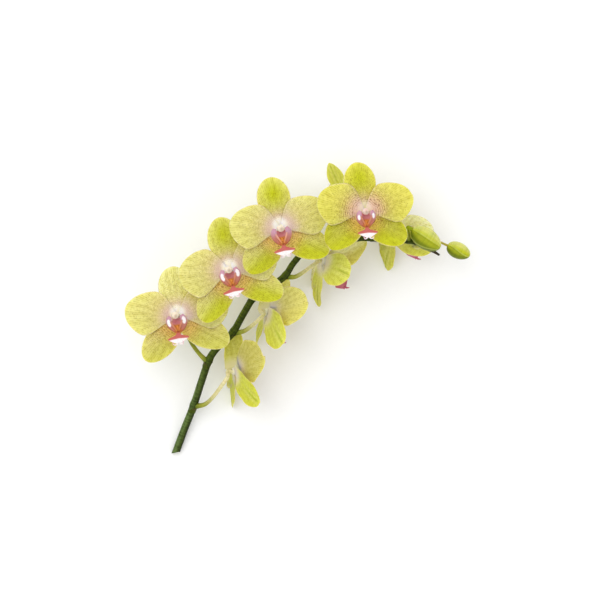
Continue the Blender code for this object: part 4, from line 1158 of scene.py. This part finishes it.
# %% Build the stalks
STALK_STEM_WIDTH, STALK_MIDDLE_WIDTH, STALK_FLOWER_WIDTH = 4.2, 2.8, 3.6
STALK_FLARE = 0.16       # of its length, in which a stalk narrows from the stem
STALK_STRAIGHT = 2.5     # mm before its end that run straight
STALK_SUNK = 0.9         # mm that a stalk's ends reach into what they grow from
STALK_SIDES = 24
RIBS, RIB_HEIGHT = 6, 0.03   # the height is a share of the radius
GAP = 0.3                # mm that the solids leave between a stalk and its flower or bud


def stalk(name, end, end_way, width, far_colour):
    """A pedicel on the curve of its solid: thin in its middle, flared at both ends, which sink into the
    stem and into the flower or bud. Low ribs run along it. Returns its length in mm."""
    skin = stem_line[nodes[name]] + outward(name) * (stem_radius[nodes[name]] - STALK_SUNK)
    end_points = end - STALK_STRAIGHT * end_way, end + STALK_SUNK * end_way
    line = smooth([skin, *CARRIED[name]["stalk"][1:], *end_points], steps=12)
    t = np.linspace(0, 1, len(line))[:, None]
    thin = min(STALK_MIDDLE_WIDTH, 0.85 * width)
    radius = (thin + (STALK_STEM_WIDTH - thin) * np.exp(-t / STALK_FLARE) + (width - thin) * t ** 3) / 2
    turn = np.arange(STALK_SIDES)[None] * 2 * np.pi / STALK_SIDES
    rings = tube(line, radius * (1 + RIB_HEIGHT * np.cos(RIBS * turn)), STALK_SIDES)
    length = float(np.linalg.norm(np.diff(line, axis=0), axis=1).sum())
    ground = mix(STALK_GREEN, far_colour, rise(t, 0.1, 0.5))
    ground = mix(ground, STEM_OLIVE, rise(t, 0.12, 0.0))
    made = round_shell(rings, ground, t * length)
    piece(name + "_stalk", [made], stalk_skin, [name + "_pedicel"])
    return round(length, 1)


stalk_lengths = []
for name, bloom in BLOOMS.items():
    end = in_flower(bloom, (0, 0, RECEPTACLE_FRONT - RECEPTACLE[2] - GAP / bloom["size"]))
    far_colour = STALK_OLIVE if name == "bloom_2" else STALK_CREAM
    stalk_lengths.append(stalk(name, end, flower_axes(bloom)[2], STALK_FLOWER_WIDTH, far_colour))
for name, bud in BUDS.items():
    axis = unit(np.array(bud["tip"], float) - bud["base"])
    end = bud["base"] - GAP * axis
    stalk_lengths.append(stalk(name, end, axis, bud["stalk_width"], bud["stalk_colour"]))
print("stalk lengths in mm:", stalk_lengths)

# %% [markdown]
# ## The buds
# A bud is three sepals folded over each other. Each one's edge lies over its neighbour, so a round section
# gets three small steps, which drift as they run to the tip. The edges are paler than the green blades, and
# a dark line of shade follows each.

# %% Build the buds
BUD_RINGS, BUD_SIDES = 56, 160
BUD_SHAPE = (0.95, 0.44)
BUD_TAPER = 0.08
BUD_STEP = 0.055         # of the radius, where one sepal lies over the next
BUD_LIT_TURN = 0.58    # turns round from the side, where the painted light is brightest
BUD_LIT_GREEN = linear("#DADA78")
BUD_GREEN = linear("#C8CC2A")
BUD_DARK = linear("#78840A")
BUD_RIM = linear("#CCD268")


def bud_surface(bud):
    """Rings from base to tip. The profile is sin(pi t^p)^q. Just past each seam the radius drops by
    BUD_STEP and wins it back along an exponential over a tenth of a turn."""
    base, tip = np.array(bud["base"], float), np.array(bud["tip"], float)
    axis, length = unit(tip - base), np.linalg.norm(tip - base)
    side = unit(np.cross(axis, [0, 0, 1.0]))
    other = np.cross(axis, side)
    t = ((1 - np.cos(np.linspace(0.01, np.pi - 0.01, BUD_RINGS))) / 2)[:, None]
    turn = np.arange(BUD_SIDES)[None] / BUD_SIDES
    profile = np.sin(np.pi * t ** BUD_SHAPE[0]) ** BUD_SHAPE[1] * (1 - BUD_TAPER * t)
    # Painted light and shade: the skin is painted lightest on the side towards the light and darker round the
    # far side.
    lit = np.cos(2 * np.pi * (turn - BUD_LIT_TURN))
    ground = mix(mix(BUD_DARK, BUD_GREEN, rise(lit, -0.3, 0.5)), BUD_LIT_GREEN, rise(lit, 0.55, 1))
    step = 1
    for at_base, at_tip in bud["seams"]:
        past = (turn - at_base - (at_tip - at_base) * t) % 1
        step = step - BUD_STEP * np.sin(np.pi * t) ** 0.4 * np.exp(-past / 0.1) * rise(past, 0, 0.015)
        ground = mix(ground, BUD_DARK, 0.75 * np.exp(-past / 0.03) * rise(past, 0, 0.01))
        ground = mix(ground, BUD_RIM, 0.6 * rise(past, 0.965, 0.985))
    ground = mix(ground, BUD_DARK, 0.5 * rise(t, 0.96, 1.0))
    spoke = np.cos(2 * np.pi * turn)[..., None] * side + np.sin(2 * np.pi * turn)[..., None] * other
    rings = (base + axis * (t * length)[..., None]) + (profile * bud["width"] / 2 * step)[..., None] * spoke
    return round_shell(rings, ground, t * length)


bud_skin = rod_skin("bud skin", 20, 0.45, 0.25, "#B4BC84", Roughness=0.4, Specular_IOR_Level=0.15,
                    Subsurface_Weight=0.15, Subsurface_Scale=0.001)
for name, bud in BUDS.items():
    made = piece(name + "_sepals", [bud_surface(bud)], bud_skin, [name])
print("buds:", len(BUDS), "faces in one:", len(made.data.polygons))
